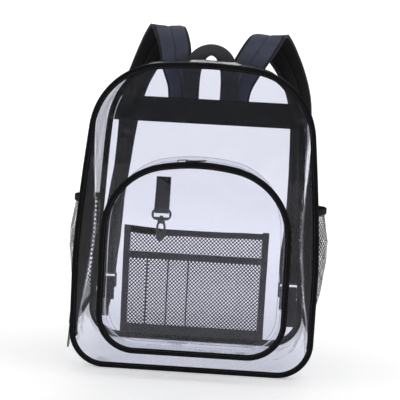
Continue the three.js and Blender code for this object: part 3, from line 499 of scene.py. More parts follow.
def stitches(name, line, outs, pitch=3.4, length=2.4, radius=0.32, material=THREAD):
    """A row of stitches along a line: short raised threads with a gap between them. outs is the way
    out of the cloth, one for the row or one for each point."""
    if isinstance(outs, Vector):
        outs = [outs] * len(line)
    lengths = spans(line)
    points, faces = [], []
    k = 0
    for n in range(int(lengths[-1] / (pitch * MM))):
        start = n * pitch * MM
        ends = []
        for place in (start, start + length * MM / 2, start + length * MM):
            while k < len(lengths) - 2 and lengths[k + 1] < place:
                k += 1
            t = (place - lengths[k]) / max(lengths[k + 1] - lengths[k], TINY)
            ends.append((line[k].lerp(line[k + 1], t), outs[k].lerp(outs[k + 1], t).normalized()))
        along = (ends[2][0] - ends[0][0]).normalized()
        first = len(points)
        for (p, out), (thick, lift) in zip(ends, STITCH_RINGS):
            side = along.cross(out).normalized()
            centre = p + out * radius * MM * lift
            for angle in range(STITCH_SIDES):
                a = 2 * math.pi * angle / STITCH_SIDES
                points.append(centre + (side * math.cos(a) + out * math.sin(a)) * radius * MM * thick)
        for ring in (0, 1):
            start_of_ring = first + ring * STITCH_SIDES
            for j in range(STITCH_SIDES):
                a, b = start_of_ring + j, start_of_ring + (j + 1) % STITCH_SIDES
                faces.append((a, b, b + STITCH_SIDES, a + STITCH_SIDES))
        faces.append(tuple(first + j for j in reversed(range(STITCH_SIDES))))
        faces.append(tuple(first + 2 * STITCH_SIDES + j for j in range(STITCH_SIDES)))
    make_piece(name, points, faces, material)


def ribbon_frames(points, width_of):
    """Frames along a line of points, whose width follows width_of(index)."""
    frames = []
    for i, point in enumerate(points):
        before, after = points[max(i - 1, 0)], points[min(i + 1, len(points) - 1)]
        tangent = (after - before).normalized()
        across = width_of(i)
        across = (across - tangent * across.dot(tangent)).normalized()
        frames.append((point, tangent.cross(across).normalized(), across))
    return frames


def flat_profile(width, thickness):
    """A ribbon's section with softened edges, in metres."""
    w, t = width * MM / 2, thickness * MM / 2
    r = thickness * MM * RIBBON_ROUNDING
    return [(t, -w + r), (t, -w / 3), (t, w / 3), (t, w - r), (t - r, w), (-t + r, w),
            (-t, w - r), (-t, w / 3), (-t, -w / 3), (-t, -w + r), (-t + r, -w), (t - r, -w)]


def ribbon_piece(name, points, across, width, thickness, material, node):
    """A flat ribbon along a line of points, its width in one direction all along."""
    profile = flat_profile(width, thickness)
    piece = tube_piece(name, ribbon_frames(points, lambda i: across), lambda i: profile, material, [node])


def finer(points, step):
    """The same line with points no further apart than step, in metres."""
    line = [points[0]]
    for a, b in zip(points, points[1:]):
        count = max(1, math.ceil((b - a).length / step))
        line += [a.lerp(b, k / count) for k in range(1, count + 1)]
    return line


# Outlines
def arch_outline(spec, spacing):
    """The arched outline as (x, z, nx, nz), from the middle of the base up the right side."""
    half, base, height = spec["half_width"], spec["base"], spec["height"]
    top_r, low_r, rise = spec["top_radius"], spec["bottom_radius"], spec["crown_rise"]
    lean = math.radians(spec["lean"])
    centre = Vector((half - spec["draw_in"] - top_r, base + height - rise - top_r))
    shoulder = centre + Vector((math.cos(lean), math.sin(lean))) * top_r
    crown_angle = math.pi / 2 - math.atan2(2 * rise, centre.x + top_r * 0.1)
    crown = centre + Vector((math.cos(crown_angle), math.sin(crown_angle))) * top_r
    bend = Vector((half, shoulder.y - (half - shoulder.x) / math.tan(lean)))
    corner = Vector((half - low_r, base + low_r))
    straight_top = Vector((half, lerp(corner.y, bend.y, STRAIGHT_SHARE)))

    def line(a, b):
        return lambda t: a.lerp(b, t)

    def arc(middle, radius, a, b):
        return lambda t: middle + Vector((math.cos(lerp(a, b, t)), math.sin(lerp(a, b, t)))) * radius

    def bezier(a, b, c):
        return lambda t: a.lerp(b, t).lerp(b.lerp(c, t), t)

    top = Vector((0, base + height))
    curves = [
        line(Vector((0, base)), Vector((corner.x, base))),
        arc(corner, low_r, -math.pi / 2, 0),
        line(Vector((half, corner.y)), straight_top),
        bezier(straight_top, bend, shoulder),
        arc(centre, top_r, lean, crown_angle),
        bezier(crown, Vector((crown.x / 2, top.y)), top),
    ]
    right = []
    for curve in curves:
        count = max(2, round((curve(1) - curve(0)).length / spacing))
        for k in range(count):
            t = k / count
            tangent = (curve(t + 0.001) - curve(t)).normalized()
            p = curve(t)
            right.append((p.x, p.y, tangent.y, -tangent.x))
    left = [(-x, z, -nx, nz) for x, z, nx, nz in reversed(right[1:])]
    return right + [(0, base + height, 0, 1)] + left


BAG_LINE = arch_outline(BAG, 5)
POCKET_LINE = arch_outline(POCKET, 4)


def bag_side(station, y):
    """How far the bag's side lies outside its outline at a depth y."""
    height = min(max(station[1] / BAG["height"] / WAIST_SHARE, 0), 1)
    waist = WAIST_DRAW * math.sin(math.pi * height) ** 2
    lift = CROWN_LIFT * max(station[3], 0) ** 2
    return lift * table_at(GUSSET_ROWS, y / BAG_DEPTH, 2) - waist * table_at(GUSSET_ROWS, y / BAG_DEPTH)


def pocket_side(station, y):
    """The same for the pocket, whose gusset dips under the zip and spreads to its seam."""
    share = (y - POCKET_FRONT) / POCKET_DEPTH
    seam = POCKET_SEAM_RISE * max(station[3], 0) ** 2 - POCKET_TAPER * station[2] ** 2
    return seam * table_at(POCKET_ROWS, share, 2) - POCKET_DIP * table_at(POCKET_ROWS, share, 1)


def lifted(station, side, y, lift):
    """A point on a side, lift outside it."""
    x, z, nx, nz = station
    out = side(station, y) + lift
    return at(x + nx * out, y, z + nz * out)


def out_of(station):
    return Vector((station[2], 0, station[3]))


def side_frames(stations, side, y):
    """Frames along a side at one depth: out of the bag, and across its depth."""
    return [(lifted(s, side, y, 0), out_of(s), Vector((0, 1, 0))) for s in stations]


def moved_out(stations, far):
    """The outline moved out by far(station), as a closed ring of (x, z)."""
    ring = []
    for station in stations:
        x, z, nx, nz = station
        ring.append((x + nx * far(station), z + nz * far(station)))
    return ring + ring[:1]


# Clear panels, gussets and their creases
def half_width_at(line, z):
    """Half the outline's width at a height."""
    widest = 0.0
    for a, b in zip(line, line[1:]):
        if min(a[1], b[1]) <= z <= max(a[1], b[1]) and abs(b[1] - a[1]) > TINY:
            widest = max(widest, abs(lerp(a[0], b[0], (z - a[1]) / (b[1] - a[1]))))
    return widest


def crumple(x, y, z, scale, seed):
    """Soft creases, within about 1 either way."""
    p = Vector((x * scale + seed, y * scale, z * scale))
    return noise.noise(p) + 0.4 * noise.noise(p * 2.3)


def no_draw(station, y):
    return 0.0


def panel(name, line, depth, sheet_y, node, draw, wave, seed, material=CLEAR):
    """A clear panel: flat where it is bound and gently uneven in between."""
    inset = BINDING_WALL + GAP
    ring = moved_out(line, lambda s: draw(s, depth) - inset)
    low, high = min(z for _, z in ring), max(z for _, z in ring)
    grid = []
    for i in range(PANEL_ROWS + 1):
        z = lerp(low, high, 0.5 - 0.5 * math.cos(math.pi * i / PANEL_ROWS))
        half = half_width_at(ring, min(max(z, low + HAIR), high - HAIR))
        row = []
        for j in range(PANEL_COLUMNS + 1):
            x = half * math.sin(math.pi * (j / PANEL_COLUMNS - 0.5))
            beside = min(1, (half - abs(x)) / PANEL_FADE)
            fade = beside * min(1, (z - low) / PANEL_FADE, (high - z) / PANEL_FADE)
            row.append(at(x, sheet_y + wave * fade * crumple(x, 0, z, PANEL_FINENESS, seed), z))
        grid.append(row)
    grid_piece(name, grid, material, [node])


panel("clear_front", BAG_LINE, 0, SHEET_INSET, "front_panel", no_draw, 2.0, 3.1)
panel("clear_back", BAG_LINE, BAG_DEPTH, BAG_DEPTH - SHEET_INSET, "back_panel", bag_side, 2.0, 8.4)
panel("clear_pocket", POCKET_LINE, POCKET_FRONT, POCKET_FRONT + SHEET_INSET, "pocket_panel", no_draw,
      1.6, 5.7, CLEAR_POCKET)

ZIP_FRONT = BINDING_REACH + GAP
ZIP_BACK = ZIP_FRONT + BAG_TAPE_WIDTH
POCKET_ZIP_FRONT = POCKET_FRONT + BINDING_REACH + GAP
POCKET_ZIP_BACK = POCKET_ZIP_FRONT + POCKET_TAPE_WIDTH


def gusset(name, line, side, begins, ends, under_zip, zip_from, node, crease, seed, count):
    """A gusset that is whole round the base and begins behind the tape where the zip runs."""
    grid = []
    for station in line:
        from_y = under_zip if station[1] > zip_from else begins
        row = []
        for k in range(count + 1):
            y = lerp(from_y, ends, k / count)
            t = (y - begins) / (ends - begins)
            fade = math.sin(math.pi * min(max(t, 0), 1))
            sag = crease * fade * crumple(station[0], y, station[1], GUSSET_FINENESS, seed)
            row.append(lifted(station, side, y, GUSSET_LIFT + sag))
        grid.append(row)
    grid_piece(name, grid, CLEAR_RIPPLED, [node], closed=True)


gusset("clear_gusset", BAG_LINE, bag_side, 1.5, BAG_DEPTH - 1.5, ZIP_BACK - ZIP_OVERLAP,
       BAG_ZIP_FROM, "gusset", 2.2, 1.7, 22)
gusset("clear_pocket_gusset", POCKET_LINE, pocket_side, POCKET_FRONT + 1.5, -GAP,
       POCKET_ZIP_BACK - ZIP_OVERLAP, POCKET_ZIP_FROM, "pocket_gusset", 0.8, 4.2, 10)


# Bindings with their stitching
def binding_profile(inward):
    """A folded tape's section: a lip over the panel, a soft corner and a wall behind it."""
    lip, wall, wide, reach = BINDING_LIP, BINDING_WALL, BINDING_WIDTH, BINDING_REACH
    corners = [
        (0.0, reach), (0.15, 2.0), (0.0, 0.0), (-0.8, -1.3), (-2.4, -lip), (-4.6, -lip - 0.15),
        (-7.2, -lip + 0.1), (-wide, -1.0), (-wide, -GAP), (-4.0, -GAP), (-wall, -GAP), (-wall, reach),
    ]
    return [(a * MM, b * inward * MM) for a, b in corners]


def bind(name, line, side, depth, inward, node, threads):
    """A binding round an edge at one depth, with one row of stitches on its face."""
    profile = binding_profile(inward)
    piece = tube_piece(name, side_frames(line, side, depth), lambda i: profile, TAPE, [node], closed=True)
    out = Vector((0, -inward, 0))
    face = [lifted(s, side, depth, BINDING_STITCH_IN - BINDING_WIDTH) + out * BINDING_LIP * MM for s in line]
    face.append(face[0])
    stitches(threads, face, out)


bind("tape_front", BAG_LINE, no_draw, 0, 1, "front_binding", "stitches_front")
bind("tape_back", BAG_LINE, bag_side, BAG_DEPTH, -1, "back_binding", "stitches_back")
bind("tape_pocket", POCKET_LINE, no_draw, POCKET_FRONT, 1, "pocket_binding", "stitches_pocket")


# Zips
def zip_run(prefix, line, side, front, back, coil_y, zip_from, tape_node, coil_node):
    """A zip: its two tapes, a coil of teeth and a row of stitches along each edge."""
    stations = [s for s in line if s[1] > zip_from]
    depths = [lerp(front, back, k / 10) for k in range(11)]
    middle_lift = TAPE_LIFT - ZIP_TAPE_WALL / 2
    grid = [[lifted(s, side, y, middle_lift) for y in depths] for s in stations]
    tape = grid_piece(f"{prefix}_tapes", grid, ZIP_TAPE, [tape_node])
    thicken(tape, ZIP_TAPE_WALL)
    middle = finer([lifted(s, side, coil_y, COIL_LIFT + COIL_HEIGHT / 2) for s in stations], 1 * MM)
    zip_teeth(f"{prefix}_teeth", middle, coil_node)
    outs = [out_of(s) for s in stations]
    for label, y in (("front", front + ZIP_STITCH_IN[0]), ("back", back - ZIP_STITCH_IN[1])):
        row = [lifted(s, side, y, TAPE_LIFT + 0.1) for s in stations]
        stitches(f"{prefix}_stitches_{label}", row, outs, material=DARK_THREAD)


def zip_teeth(name, middle, coil_node):
    """A coil's teeth along its middle line: alternately wide and narrow, with a rounded top."""
    lengths = spans(middle)
    points, faces = [], []
    sides = len(TOOTH_SECTION)
    k = 0
    for n in range(int(lengths[-1] / (TOOTH_PITCH * MM))):
        place = (n + 0.5) * TOOTH_PITCH * MM
        while k < len(lengths) - 2 and lengths[k + 1] < place:
            k += 1
        origin = middle[k]
        along = (middle[k + 1] - middle[k]).normalized()
        out = along.cross(Vector((0, 1, 0))).normalized()
        if out.dot(Vector((origin.x, 0, origin.z - BAG["height"] * MM / 2))) < 0:
            out = -out
        half = COIL_WIDTH / 2 * MM * (1 if n % 2 else TOOTH_NARROW)
        tall = COIL_HEIGHT / 2 * MM
        wide = TOOTH_PITCH * TOOTH_HALF_LENGTH * MM
        first = len(points)
        for shift in (-wide, wide):
            for across, lift in TOOTH_SECTION:
                points.append(origin + along * shift + Vector((0, 1, 0)) * across * half + out * lift * tall)
        for j in range(sides):
            b = (j + 1) % sides
            faces.append((first + j, first + b, first + sides + b, first + sides + j))
        faces.append(tuple(first + j for j in reversed(range(sides))))
        faces.append(tuple(first + sides + j for j in range(sides)))
    return make_piece(name, points, faces, TEETH, [coil_node], smooth=False)


zip_run("main_zip", BAG_LINE, bag_side, ZIP_FRONT, ZIP_BACK, BAG_COIL_DEPTH, BAG_ZIP_FROM,
        "main_zip_tape", "main_zip_coil")
zip_run("pocket_zip", POCKET_LINE, pocket_side, POCKET_ZIP_FRONT, POCKET_ZIP_BACK,
        (POCKET_ZIP_FRONT + POCKET_ZIP_BACK) / 2, POCKET_ZIP_FROM, "pocket_zip_tape", "pocket_zip_coil")


def pocket_seams():
    """Two rows of stitches hold the pocket's gusset to the front panel."""
    for label, inset, y in (("outer", -0.4, -0.9), ("inner", 4.2, -1.4)):
        line = [lifted(s, pocket_side, -GAP, GUSSET_LIFT - inset) for s in POCKET_LINE]
        line = [Vector((p.x, (FRONT + y) * MM, p.z)) for p in line]
        line.append(line[0])
        stitches(f"seam_{label}", line, FORWARD, 2.8, 2.3, 0.42, DARK_THREAD)


pocket_seams()


# Nets
def net(name, surface, width, length, node, pitch=NET_PITCH, hole=NET_HOLE):
    """A knitted net of staggered round holes on a surface(u, v), both in millimetres."""
    columns, rows = round(width / pitch), round(length / pitch)
    cell_u, cell_v = width / columns, length / rows
    points, faces, runs, index = [], [], [], {}

    def corner(i, j):
        key = (round(2 * i), round(2 * j))
        if key not in index:
            u, v = min(max(i * cell_u / 2, 0), width), min(max(j * cell_v / 2, 0), length)
            index[key] = len(points)
            points.append(surface(u, v))
            runs.append((u * MM, v * MM))
        return index[key]

    for j in range(2 * rows + 1):
        for i in range(j % 2, 2 * columns + 1, 2):
            ring = [corner(i + 1, j), corner(i + 0.5, j + 0.5), corner(i, j + 1), corner(i - 0.5, j + 0.5),
                    corner(i - 1, j), corner(i - 0.5, j - 0.5), corner(i, j - 1), corner(i + 0.5, j - 0.5)]
            if 0 < i < 2 * columns and 0 < j < 2 * rows:
                inner = []
                for k in range(8):
                    angle = math.pi / 4 * k
                    reach = hole / 2 * (1 if k % 2 == 0 else 0.92)
                    u = (i / 2 + math.cos(angle) * reach) * cell_u
                    v = (j / 2 + math.sin(angle) * reach) * cell_v
                    inner.append(len(points))
                    points.append(surface(u, v))
                    runs.append((u * MM, v * MM))
                for k in range(8):
                    after = (k + 1) % 8
                    faces.append((ring[k], ring[after], inner[after], inner[k]))
            else:
                faces.append(tuple(dict.fromkeys(ring)))
    faces = [f for f in faces if len(set(f)) > 2]
    piece = make_piece(name, points, faces, NET, [node], runs=runs)
    return piece


ORGANISER_TOP = ORGANISER["base"] + ORGANISER["height"]
BAR_TOP = ORGANISER_TOP - ORGANISER["top_band"] - ORGANISER["bar_drop"]
NET_HEM = 3
NET_BACK_Y = -0.7
NET_FRONT_Y = -1.8


def organiser_net(name, y, top, node, wave):
    """One of the organiser's two nets, its edges hidden under the tapes."""
    low = ORGANISER["base"] + NET_HEM
    left = -ORGANISER["half"] + NET_HEM
    width, length = 2 * ORGANISER["half"] - 2 * NET_HEM, top - NET_HEM - low

    def surface(u, v):
        x, z = left + u, low + v
        return at(x, y - abs(wave * crumple(x, 0, z, NET_FINENESS, 6.3)), z)

    piece = net(name, surface, width, length, node)
    flat_area(piece, width, length)


def flat_area(piece, width, length):
    """What the net's threads cover, kept within what a cut of that size can have."""
    covered = sum(p.area for p in piece.data.polygons)
    return min(max(covered, 0.31 * width * length * MM * MM), width * length * MM * MM)


organiser_net("net_organiser_back", NET_BACK_Y, ORGANISER_TOP, "organiser_net_back", 0.0)
organiser_net("net_organiser_front", NET_FRONT_Y, BAR_TOP, "organiser_net_front", 0.5)


def tape_bar(name, start, end, width, y, material, node, thick=1.0):
    """A straight tape between two points in the panel's plane, lying flat on it."""
    a, b = Vector(start), Vector(end)
    count = max(2, int((b - a).length / TAPE_STEP))
    side = Vector((-(b - a).y, (b - a).x)).normalized()
    across = Vector((side.x, 0, side.y))
    points = []
    for k in range(count + 1):
        p = a.lerp(b, k / count)
        wobble = TAPE_WOBBLE * crumple(p.x, 0, p.y, TAPE_FINENESS, 2.2)
        points.append(at(p.x + side.x * wobble, y, p.y + side.y * wobble))
    ribbon_piece(name, points, across, width, thick, material, node)
    for label, shift in (("a", width / 2 - TAPE_STITCH_IN), ("b", TAPE_STITCH_IN - width / 2)):
        if width > STITCHED_FROM:
            line = [p + across * shift * MM + Vector((0, -thick / 2 * MM, 0)) for p in points]
            stitches(f"{name}_stitches_{label}", line, FORWARD, radius=0.24)


def organiser_tapes():
    """The organiser's border, bar and seams, as tapes that overlap at the corners."""
    half, low, high = ORGANISER["half"], ORGANISER["base"], ORGANISER_TOP
    y = NET_FRONT_Y - 1.1
    top, side, foot, bar = (ORGANISER[k] for k in ("top_band", "side_band", "bottom_band", "bar_band"))
    sag = ORGANISER["top_sag"]
    tape_bar("border_top_left", (-half, high - top / 2), (HOOK_X, high - top / 2 - sag), top + 1.5, y, TAPE,
             "organiser_border")
    tape_bar("border_top", (HOOK_X - 1, high - top / 2 - sag), (half, high - top / 2 - sag / 3), top, y - 0.1,
             GREY_TAPE, "organiser_border")
    tape_bar("border_foot", (-half, low + foot / 2), (half, low + foot / 2), foot, y, GREY_TAPE,
             "organiser_border")
    for label, s in (("left", -1), ("right", 1)):
        x = s * (half - side / 2)
        tape_bar(f"border_{label}", (x, low), (x, high), side, y - 0.25, GREY_TAPE, "organiser_border")
    tape_bar("bar_tape", (-half + side, BAR_TOP - bar / 2), (half - side, BAR_TOP - bar / 2), bar, y,
             GREY_TAPE, "organiser_bar")
    for k, share in enumerate(ORGANISER_SEAMS):
        x = share * half
        tape_bar(f"seam_tape_{k + 1}", (x, low + foot), (x, BAR_TOP - bar), ORGANISER["seam"], y, GREY_TAPE,
                 f"organiser_seam_{k + 1}", thick=0.8)


organiser_tapes()


# Hook strap
def hook_strap():
    """Webbing sewn flat to the panel, round the loop's top bar and back up."""
    y0, bar_z = -HOOK_OUT, LOOP_TOP - LOOP_BAR / 2
    wrap = math.hypot(LOOP_BAR, LOOP_THICKNESS) / 2 + GAP + WEB_WALL / 2
    back_y = -GAP - WEB_WALL / 2
    front_y = back_y - WEB_WALL - GAP
    sewn = HOOK_STRAP_TOP - HOOK_STRAP_SEWN
    line = [(back_y, HOOK_STRAP_TOP), (back_y, sewn), (y0 + wrap, bar_z + LOOP_BAR)]
    line += [(y0 + wrap * math.cos(a), bar_z + wrap * math.sin(a))
             for a in (-math.pi * k / 12 for k in range(13))]
    line += [(y0 - wrap, bar_z + LOOP_BAR), (front_y, sewn), (front_y, HOOK_STRAP_TOP)]
    ribbon_piece("strap_for_hook", finer([at(HOOK_X, y, z) for y, z in line], 2 * MM), Vector((1, 0, 0)),
                 HOOK_STRAP_WIDTH, WEB_WALL, GREY_TAPE, "hook_strap")
    face = front_y - WEB_WALL / 2
    fold_half = HOOK_STRAP_WIDTH / 2 - 0.2
    fold = [[at(HOOK_X + t * fold_half, face - 0.35, HOOK_STRAP_TOP + GAP - HOOK_FOLD * (0.5 + 0.5 * t) * k)
             for t in (-1, -0.5, 0, 0.5, 1)] for k in (0, 0.5, 1)]
    patch = grid_piece("hook_strap_fold", fold, TAPE)
    thicken(patch, 0.5)
    half, top, foot = HOOK_STRAP_WIDTH / 2 - 2, -1.5, 1 - HOOK_STRAP_SEWN
    box = [(-half, top), (half, top), (half, foot), (-half, foot), (-half, top), (half, foot)]
    line = finer([at(HOOK_X + x, face, HOOK_STRAP_TOP + z) for x, z in box], 1 * MM)
    stitches("hook_strap_stitches", line, FORWARD, 2.4, 1.8, 0.26)


hook_strap()


# Yoke and haul loop
def yoke():
    """A band of cloth across the back, bound into the sides, with a row of stitches at each edge."""
    rows, columns = 12, 60
    ring = moved_out(BAG_LINE, lambda s: bag_side(s, BAG_DEPTH) - BINDING_WIDTH - 2 * GAP)
    grid = []
    for i in range(rows + 1):
        z = lerp(YOKE_BASE, YOKE_BASE + YOKE_HEIGHT, i / rows)
        half = half_width_at(ring, z)
        row = []
        for j in range(columns + 1):
            x = lerp(-half, half, j / columns)
            y = BAG_DEPTH + GAP + YOKE_WALL / 2 + YOKE_CREASE * crumple(x, 0, z, CLOTH_FINENESS, 9.1)
            row.append(at(x, y, z))
        grid.append(row)
    piece = grid_piece("yoke_cloth", grid, YOKE, ["yoke_band"])
    thicken(piece, YOKE_CLOTH)
    for label, i in (("low", 1), ("high", rows - 1)):
        for face, out in (("back", 1), ("front", -1)):
            row = [p + Vector((0, out * 0.7 * MM, 0)) for p in grid[i]]
            stitches(f"yoke_stitches_{label}_{face}", row, Vector((0, out, 0)),
                     material=DARK_THREAD)


yoke()


def haul_loop():
    """The carrying loop: flat where it is sewn on, and turned on edge over the top."""
    count = 72
    flat = BAG_DEPTH + GAP + YOKE_WALL + GAP + HAUL["wall"] / 2
    tilt = math.radians(HAUL["tilt"])
    points, widths = [], []
    for i in range(count + 1):
        around = math.pi * i / count
        arch = math.sin(around)
        x = HAUL["x"] + HAUL["half_span"] * math.cos(around) * (1 + 0.1 * arch)
        z = HAUL["root"] + (HAUL["top"] - HAUL["root"]) * math.sqrt(max(arch, 0))
        turn = math.radians(HAUL["turn"]) * arch ** 5
        on_edge = math.sin(turn)
        points.append(at(x, flat + HAUL["width"] / 2 * on_edge, z))
        side = 1 if i < count / 2 else -1
        widths.append(Vector((side * math.cos(turn), on_edge * math.cos(tilt), on_edge * math.sin(tilt))))
    frames = ribbon_frames(points, lambda i: widths[i])
    profile = flat_profile(HAUL["width"], HAUL["wall"])
    piece = tube_piece("haul_webbing", frames, lambda i: profile, LOOP_WEBBING, ["haul_loop"])
    for label, shift in (("a", 0.4), ("b", -0.4)):
        line = [o + n * HAUL["wall"] / 2 * MM + a * shift * HAUL["width"] * MM for o, n, a in frames]
        stitches(f"haul_stitches_{label}", line, [n for _, n, _ in frames], material=DARK_THREAD)


haul_loop()


# Shoulder straps
def spline(points, t):
    """A centripetal Catmull-Rom curve through points, at t from 0 to 1."""
    place = t * (len(points) - 1)
    i = min(int(place), len(points) - 2)
    w = place - i
    p1, p2 = points[i], points[i + 1]
    p0 = points[i - 1] if i > 0 else p1 * 2 - p2
    p3 = points[i + 2] if i + 2 < len(points) else p2 * 2 - p1
    d0, d1, d2 = (max((b - a).length ** 0.5, 1e-4) for a, b in ((p0, p1), (p1, p2), (p2, p3)))
    m1 = ((p1 - p0) / d0 - (p2 - p0) / (d0 + d1) + (p2 - p1) / d1) * d1
    m2 = ((p2 - p1) / d1 - (p3 - p1) / (d1 + d2) + (p3 - p2) / d2) * d1
    return p1 + m1 * w + (p1 * -3 + p2 * 3 - m1 * 2 - m2) * w ** 2 + (p1 * 2 - p2 * 2 + m1 + m2) * w ** 3


def strap_profile(width, thickness, i):
    """Foam between two cloths: crowned, grooved at the middle seam and thin at its bound edges."""
    shape = [(0.0, 0.62), (0.06, 0.9), (0.2, 1.0), (0.45, 1.0), (0.68, 0.94), (0.84, 0.78), (0.88, 0.5),
             (0.94, 0.46), (1.0, 0.36)]
    half = [(a * width / 2, b * thickness / 2) for a, b in shape]
    puff = 1 + 0.05 * math.sin(i * 0.9)
    top = [(b * puff, a) for a, b in half]
    upper = [(b, -a) for b, a in reversed(top)] + top[1:]
    lower = [(-b * 0.92, a) for b, a in reversed(upper)]
    return [(b * MM, a * MM) for b, a in upper + lower]


def shoulder_strap(name, side):
    """One padded strap, its two cloths, its edge tape and its seams."""
    rows = STRAP_ROWS
    knots = [Vector((side * (r[0] - (r[5] if side < 0 else 0)) * BAG["half_width"], r[1] * BAG_DEPTH,
                     (r[2] + (r[6] if side < 0 else 0)) * BAG["height"])) for r in rows]
    count = 150
    points, turns, sizes = [], [], []
    for i in range(count + 1):
        t = i / count
        place = t * (len(rows) - 1)
        k = min(int(place), len(rows) - 2)
        points.append(at(*spline(knots, t)))
        turns.append(math.radians(lerp(rows[k][3], rows[k + 1][3], place - k)))
        sizes.append(lerp(rows[k][4], rows[k + 1][4], place - k))
    frames = ribbon_frames(points, lambda i: Vector((math.cos(turns[i]), side * math.sin(turns[i]), 0)))
    span = len(strap_profile(1, 1, 0)) // 2
    edge_points = 3

    def cloth(j):
        around = j % span
        if around < edge_points or around >= span - edge_points - 1:
            return 2
        return 0 if j < span else 1

    outer_first = frames[0][1].y < 0
    cloths = [STRAP_OUTER, STRAP_INNER, STRAP_EDGE] if outer_first else [STRAP_INNER, STRAP_OUTER, STRAP_EDGE]

    def profile(i):
        return strap_profile(STRAP_WIDTH * sizes[i], STRAP_THICKNESS, i)

    piece = tube_piece(f"strap_{name}", frames, profile, cloths, [f"shoulder_strap_{name}"], face_slot=cloth)
    for label, out_share, shift in STRAP_SEAMS:
        line = [o + n * out_share * STRAP_THICKNESS * MM + a * shift * STRAP_WIDTH / 2 * sizes[i] * MM
                for i, (o, n, a) in enumerate(frames)]
        outs = [n if out_share > 0 else -n for _, n, _ in frames]
        stitches(f"strap_{name}_{label}", line, outs, material=DARK_THREAD)


for strap_name, strap_side in (("left", -1), ("right", 1)):
    shoulder_strap(strap_name, strap_side)


# Lower webbing
def lower_webbing(name, side):
    """Webbing from the back panel's corner through the ladder lock, with its free tail."""
    last = STRAP_ROWS[-1]
    x = side * last[0] * BAG["half_width"]
    y = last[1] * BAG_DEPTH
    top = last[2] * BAG["height"] - GAP
    low = top - ADJUSTER_HEIGHT
    slot_height = (ADJUSTER_HEIGHT - 3 * ADJUSTER_BAR) / 2
    reach = ADJUSTER_THICKNESS / 2 + GAP + WEB_WALL / 2
    turn_z = low + 2 * ADJUSTER_BAR + slot_height
    foot_y = BAG_DEPTH + GAP + YOKE_WALL + GAP + WEB_WALL / 2
    foot_x = x + side * WEB_FOOT_OUT
    line = [at(foot_x, foot_y, WEB_FOOT), at(foot_x, foot_y, WEB_FOOT + WEB_SEWN), at(x, y - reach, low)]
    line += [at(x, y + reach * math.cos(a), turn_z + reach * math.sin(a))
             for a in (math.pi * (1 - k / 12) for k in range(13))]
    line += [at(x, y + reach, low), at(x, y + reach, low - WEB_TAIL)]
    ribbon_piece(f"webbing_{name}", finer(line, 2.5 * MM), Vector((1, 0, 0)), WEB_WIDTH, WEB_WALL, WEBBING,
                 f"lower_webbing_{name}")


for web_name, web_side in (("left", -1), ("right", 1)):
    lower_webbing(web_name, web_side)


# Side nets
RIGHT_SIDE = [s for s in BAG_LINE if s[0] > BAG["half_width"] / 2 and s[2] > 0.5]
NET_Y_FRONT = ZIP_BACK + GAP + WEB_WALL
NET_Y_BACK = BAG_DEPTH - BINDING_REACH - GAP - WEB_WALL


def side_point(side, z, y, lift):
    """A point lift outside the gusset's outer face, on the right or the left side."""
    k = next((i for i, s in enumerate(RIGHT_SIDE) if s[1] >= z and i > 0), len(RIGHT_SIDE) - 1)
    a, b = RIGHT_SIDE[k - 1], RIGHT_SIDE[k]
    t = (z - a[1]) / (b[1] - a[1])
    ends = []
    for station in (a, b):
        out = bag_side(station, y) + GUSSET_LIFT + lift
        ends.append((station[0] + station[2] * out, station[1] + station[3] * out))
    return at(side * lerp(ends[0][0], ends[1][0], t), y, lerp(ends[0][1], ends[1][1], t))


def net_lift(z, share):
    rise = min(max((z - NET_BASE) / (NET_TOP - NET_BASE), 0), 1)
    return NET_BULGE * table_at(NET_ROWS, rise) * math.sin(math.pi * min(max(share, 0), 1)) ** 0.7


def side_net(name, side):
    """A side pocket: a bulging net, an elastic hem at its mouth and a tape along its foot."""
    depth = NET_Y_BACK - NET_Y_FRONT
    tall = NET_TOP - HEM_HEIGHT / 2 - NET_BASE
    cut = depth * NET_GATHER

    def surface(u, v):
        share = u / cut
        z = NET_BASE + v
        pull = NET_PULL * crumple(share * 60, side * 40, z, TAPE_FINENESS, 7.7) * min(1, v / NET_PULL_FADE)
        return side_point(side, z, lerp(NET_Y_FRONT, NET_Y_BACK, share), NET_OFF + net_lift(z, share) + pull)

    piece = net(f"net_side_{name}", surface, cut, tall, f"side_net_{name}", SIDE_NET_PITCH, SIDE_NET_HOLE)
    columns = 64
    z = NET_TOP - HEM_HEIGHT / 2
    mouth = []
    for j in range(columns + 1):
        share = j / columns
        y = lerp(NET_Y_FRONT, NET_Y_BACK, share)
        ripple = HEM_RIPPLE * math.sin(share * 90)
        mouth.append(side_point(side, z, y, HEM_OFF + net_lift(z, share) + ripple))

    def hem_profile(i):
        return flat_profile(HEM_HEIGHT + 0.4 * math.sin(i * 1.4), WEB_WALL)

    hem = tube_piece(f"hem_side_{name}", ribbon_frames(mouth, lambda i: Vector((0, 0, 1))), hem_profile, TAPE,
                     [f"side_net_hem_{name}"])
    foot_z = NET_BASE - GAP - NET_BASE_TAPE / 2
    foot = [side_point(side, foot_z, lerp(NET_Y_FRONT, NET_Y_BACK, j / 24), NET_BASE_OFF) for j in range(25)]
    ribbon_piece(f"base_tape_{name}", foot, Vector((0, 0, 1)), NET_BASE_TAPE, 1.0, TAPE,
                 f"side_net_base_{name}")


for net_name, net_side in (("left", -1), ("right", 1)):
    side_net(net_name, net_side)


# Hard parts keep their own solids
def dress(node, material):
    """Gives a kept solid its material, set on the object so that its mesh stays as it is."""
    for slot in bpy.data.objects[node].material_slots:
        slot.link = "OBJECT"
        slot.material = material


for hard in ("main_zip_slider", "main_zip_pull", "pocket_zip_slider", "pocket_zip_pull"):
    dress(hard, ENAMEL)
for hard in ("hook_loop", "hook_body", "strap_adjuster_left", "strap_adjuster_right"):
    dress(hard, GREY_PLASTIC)


# Studio
FLOOR_GLOW = 0.33
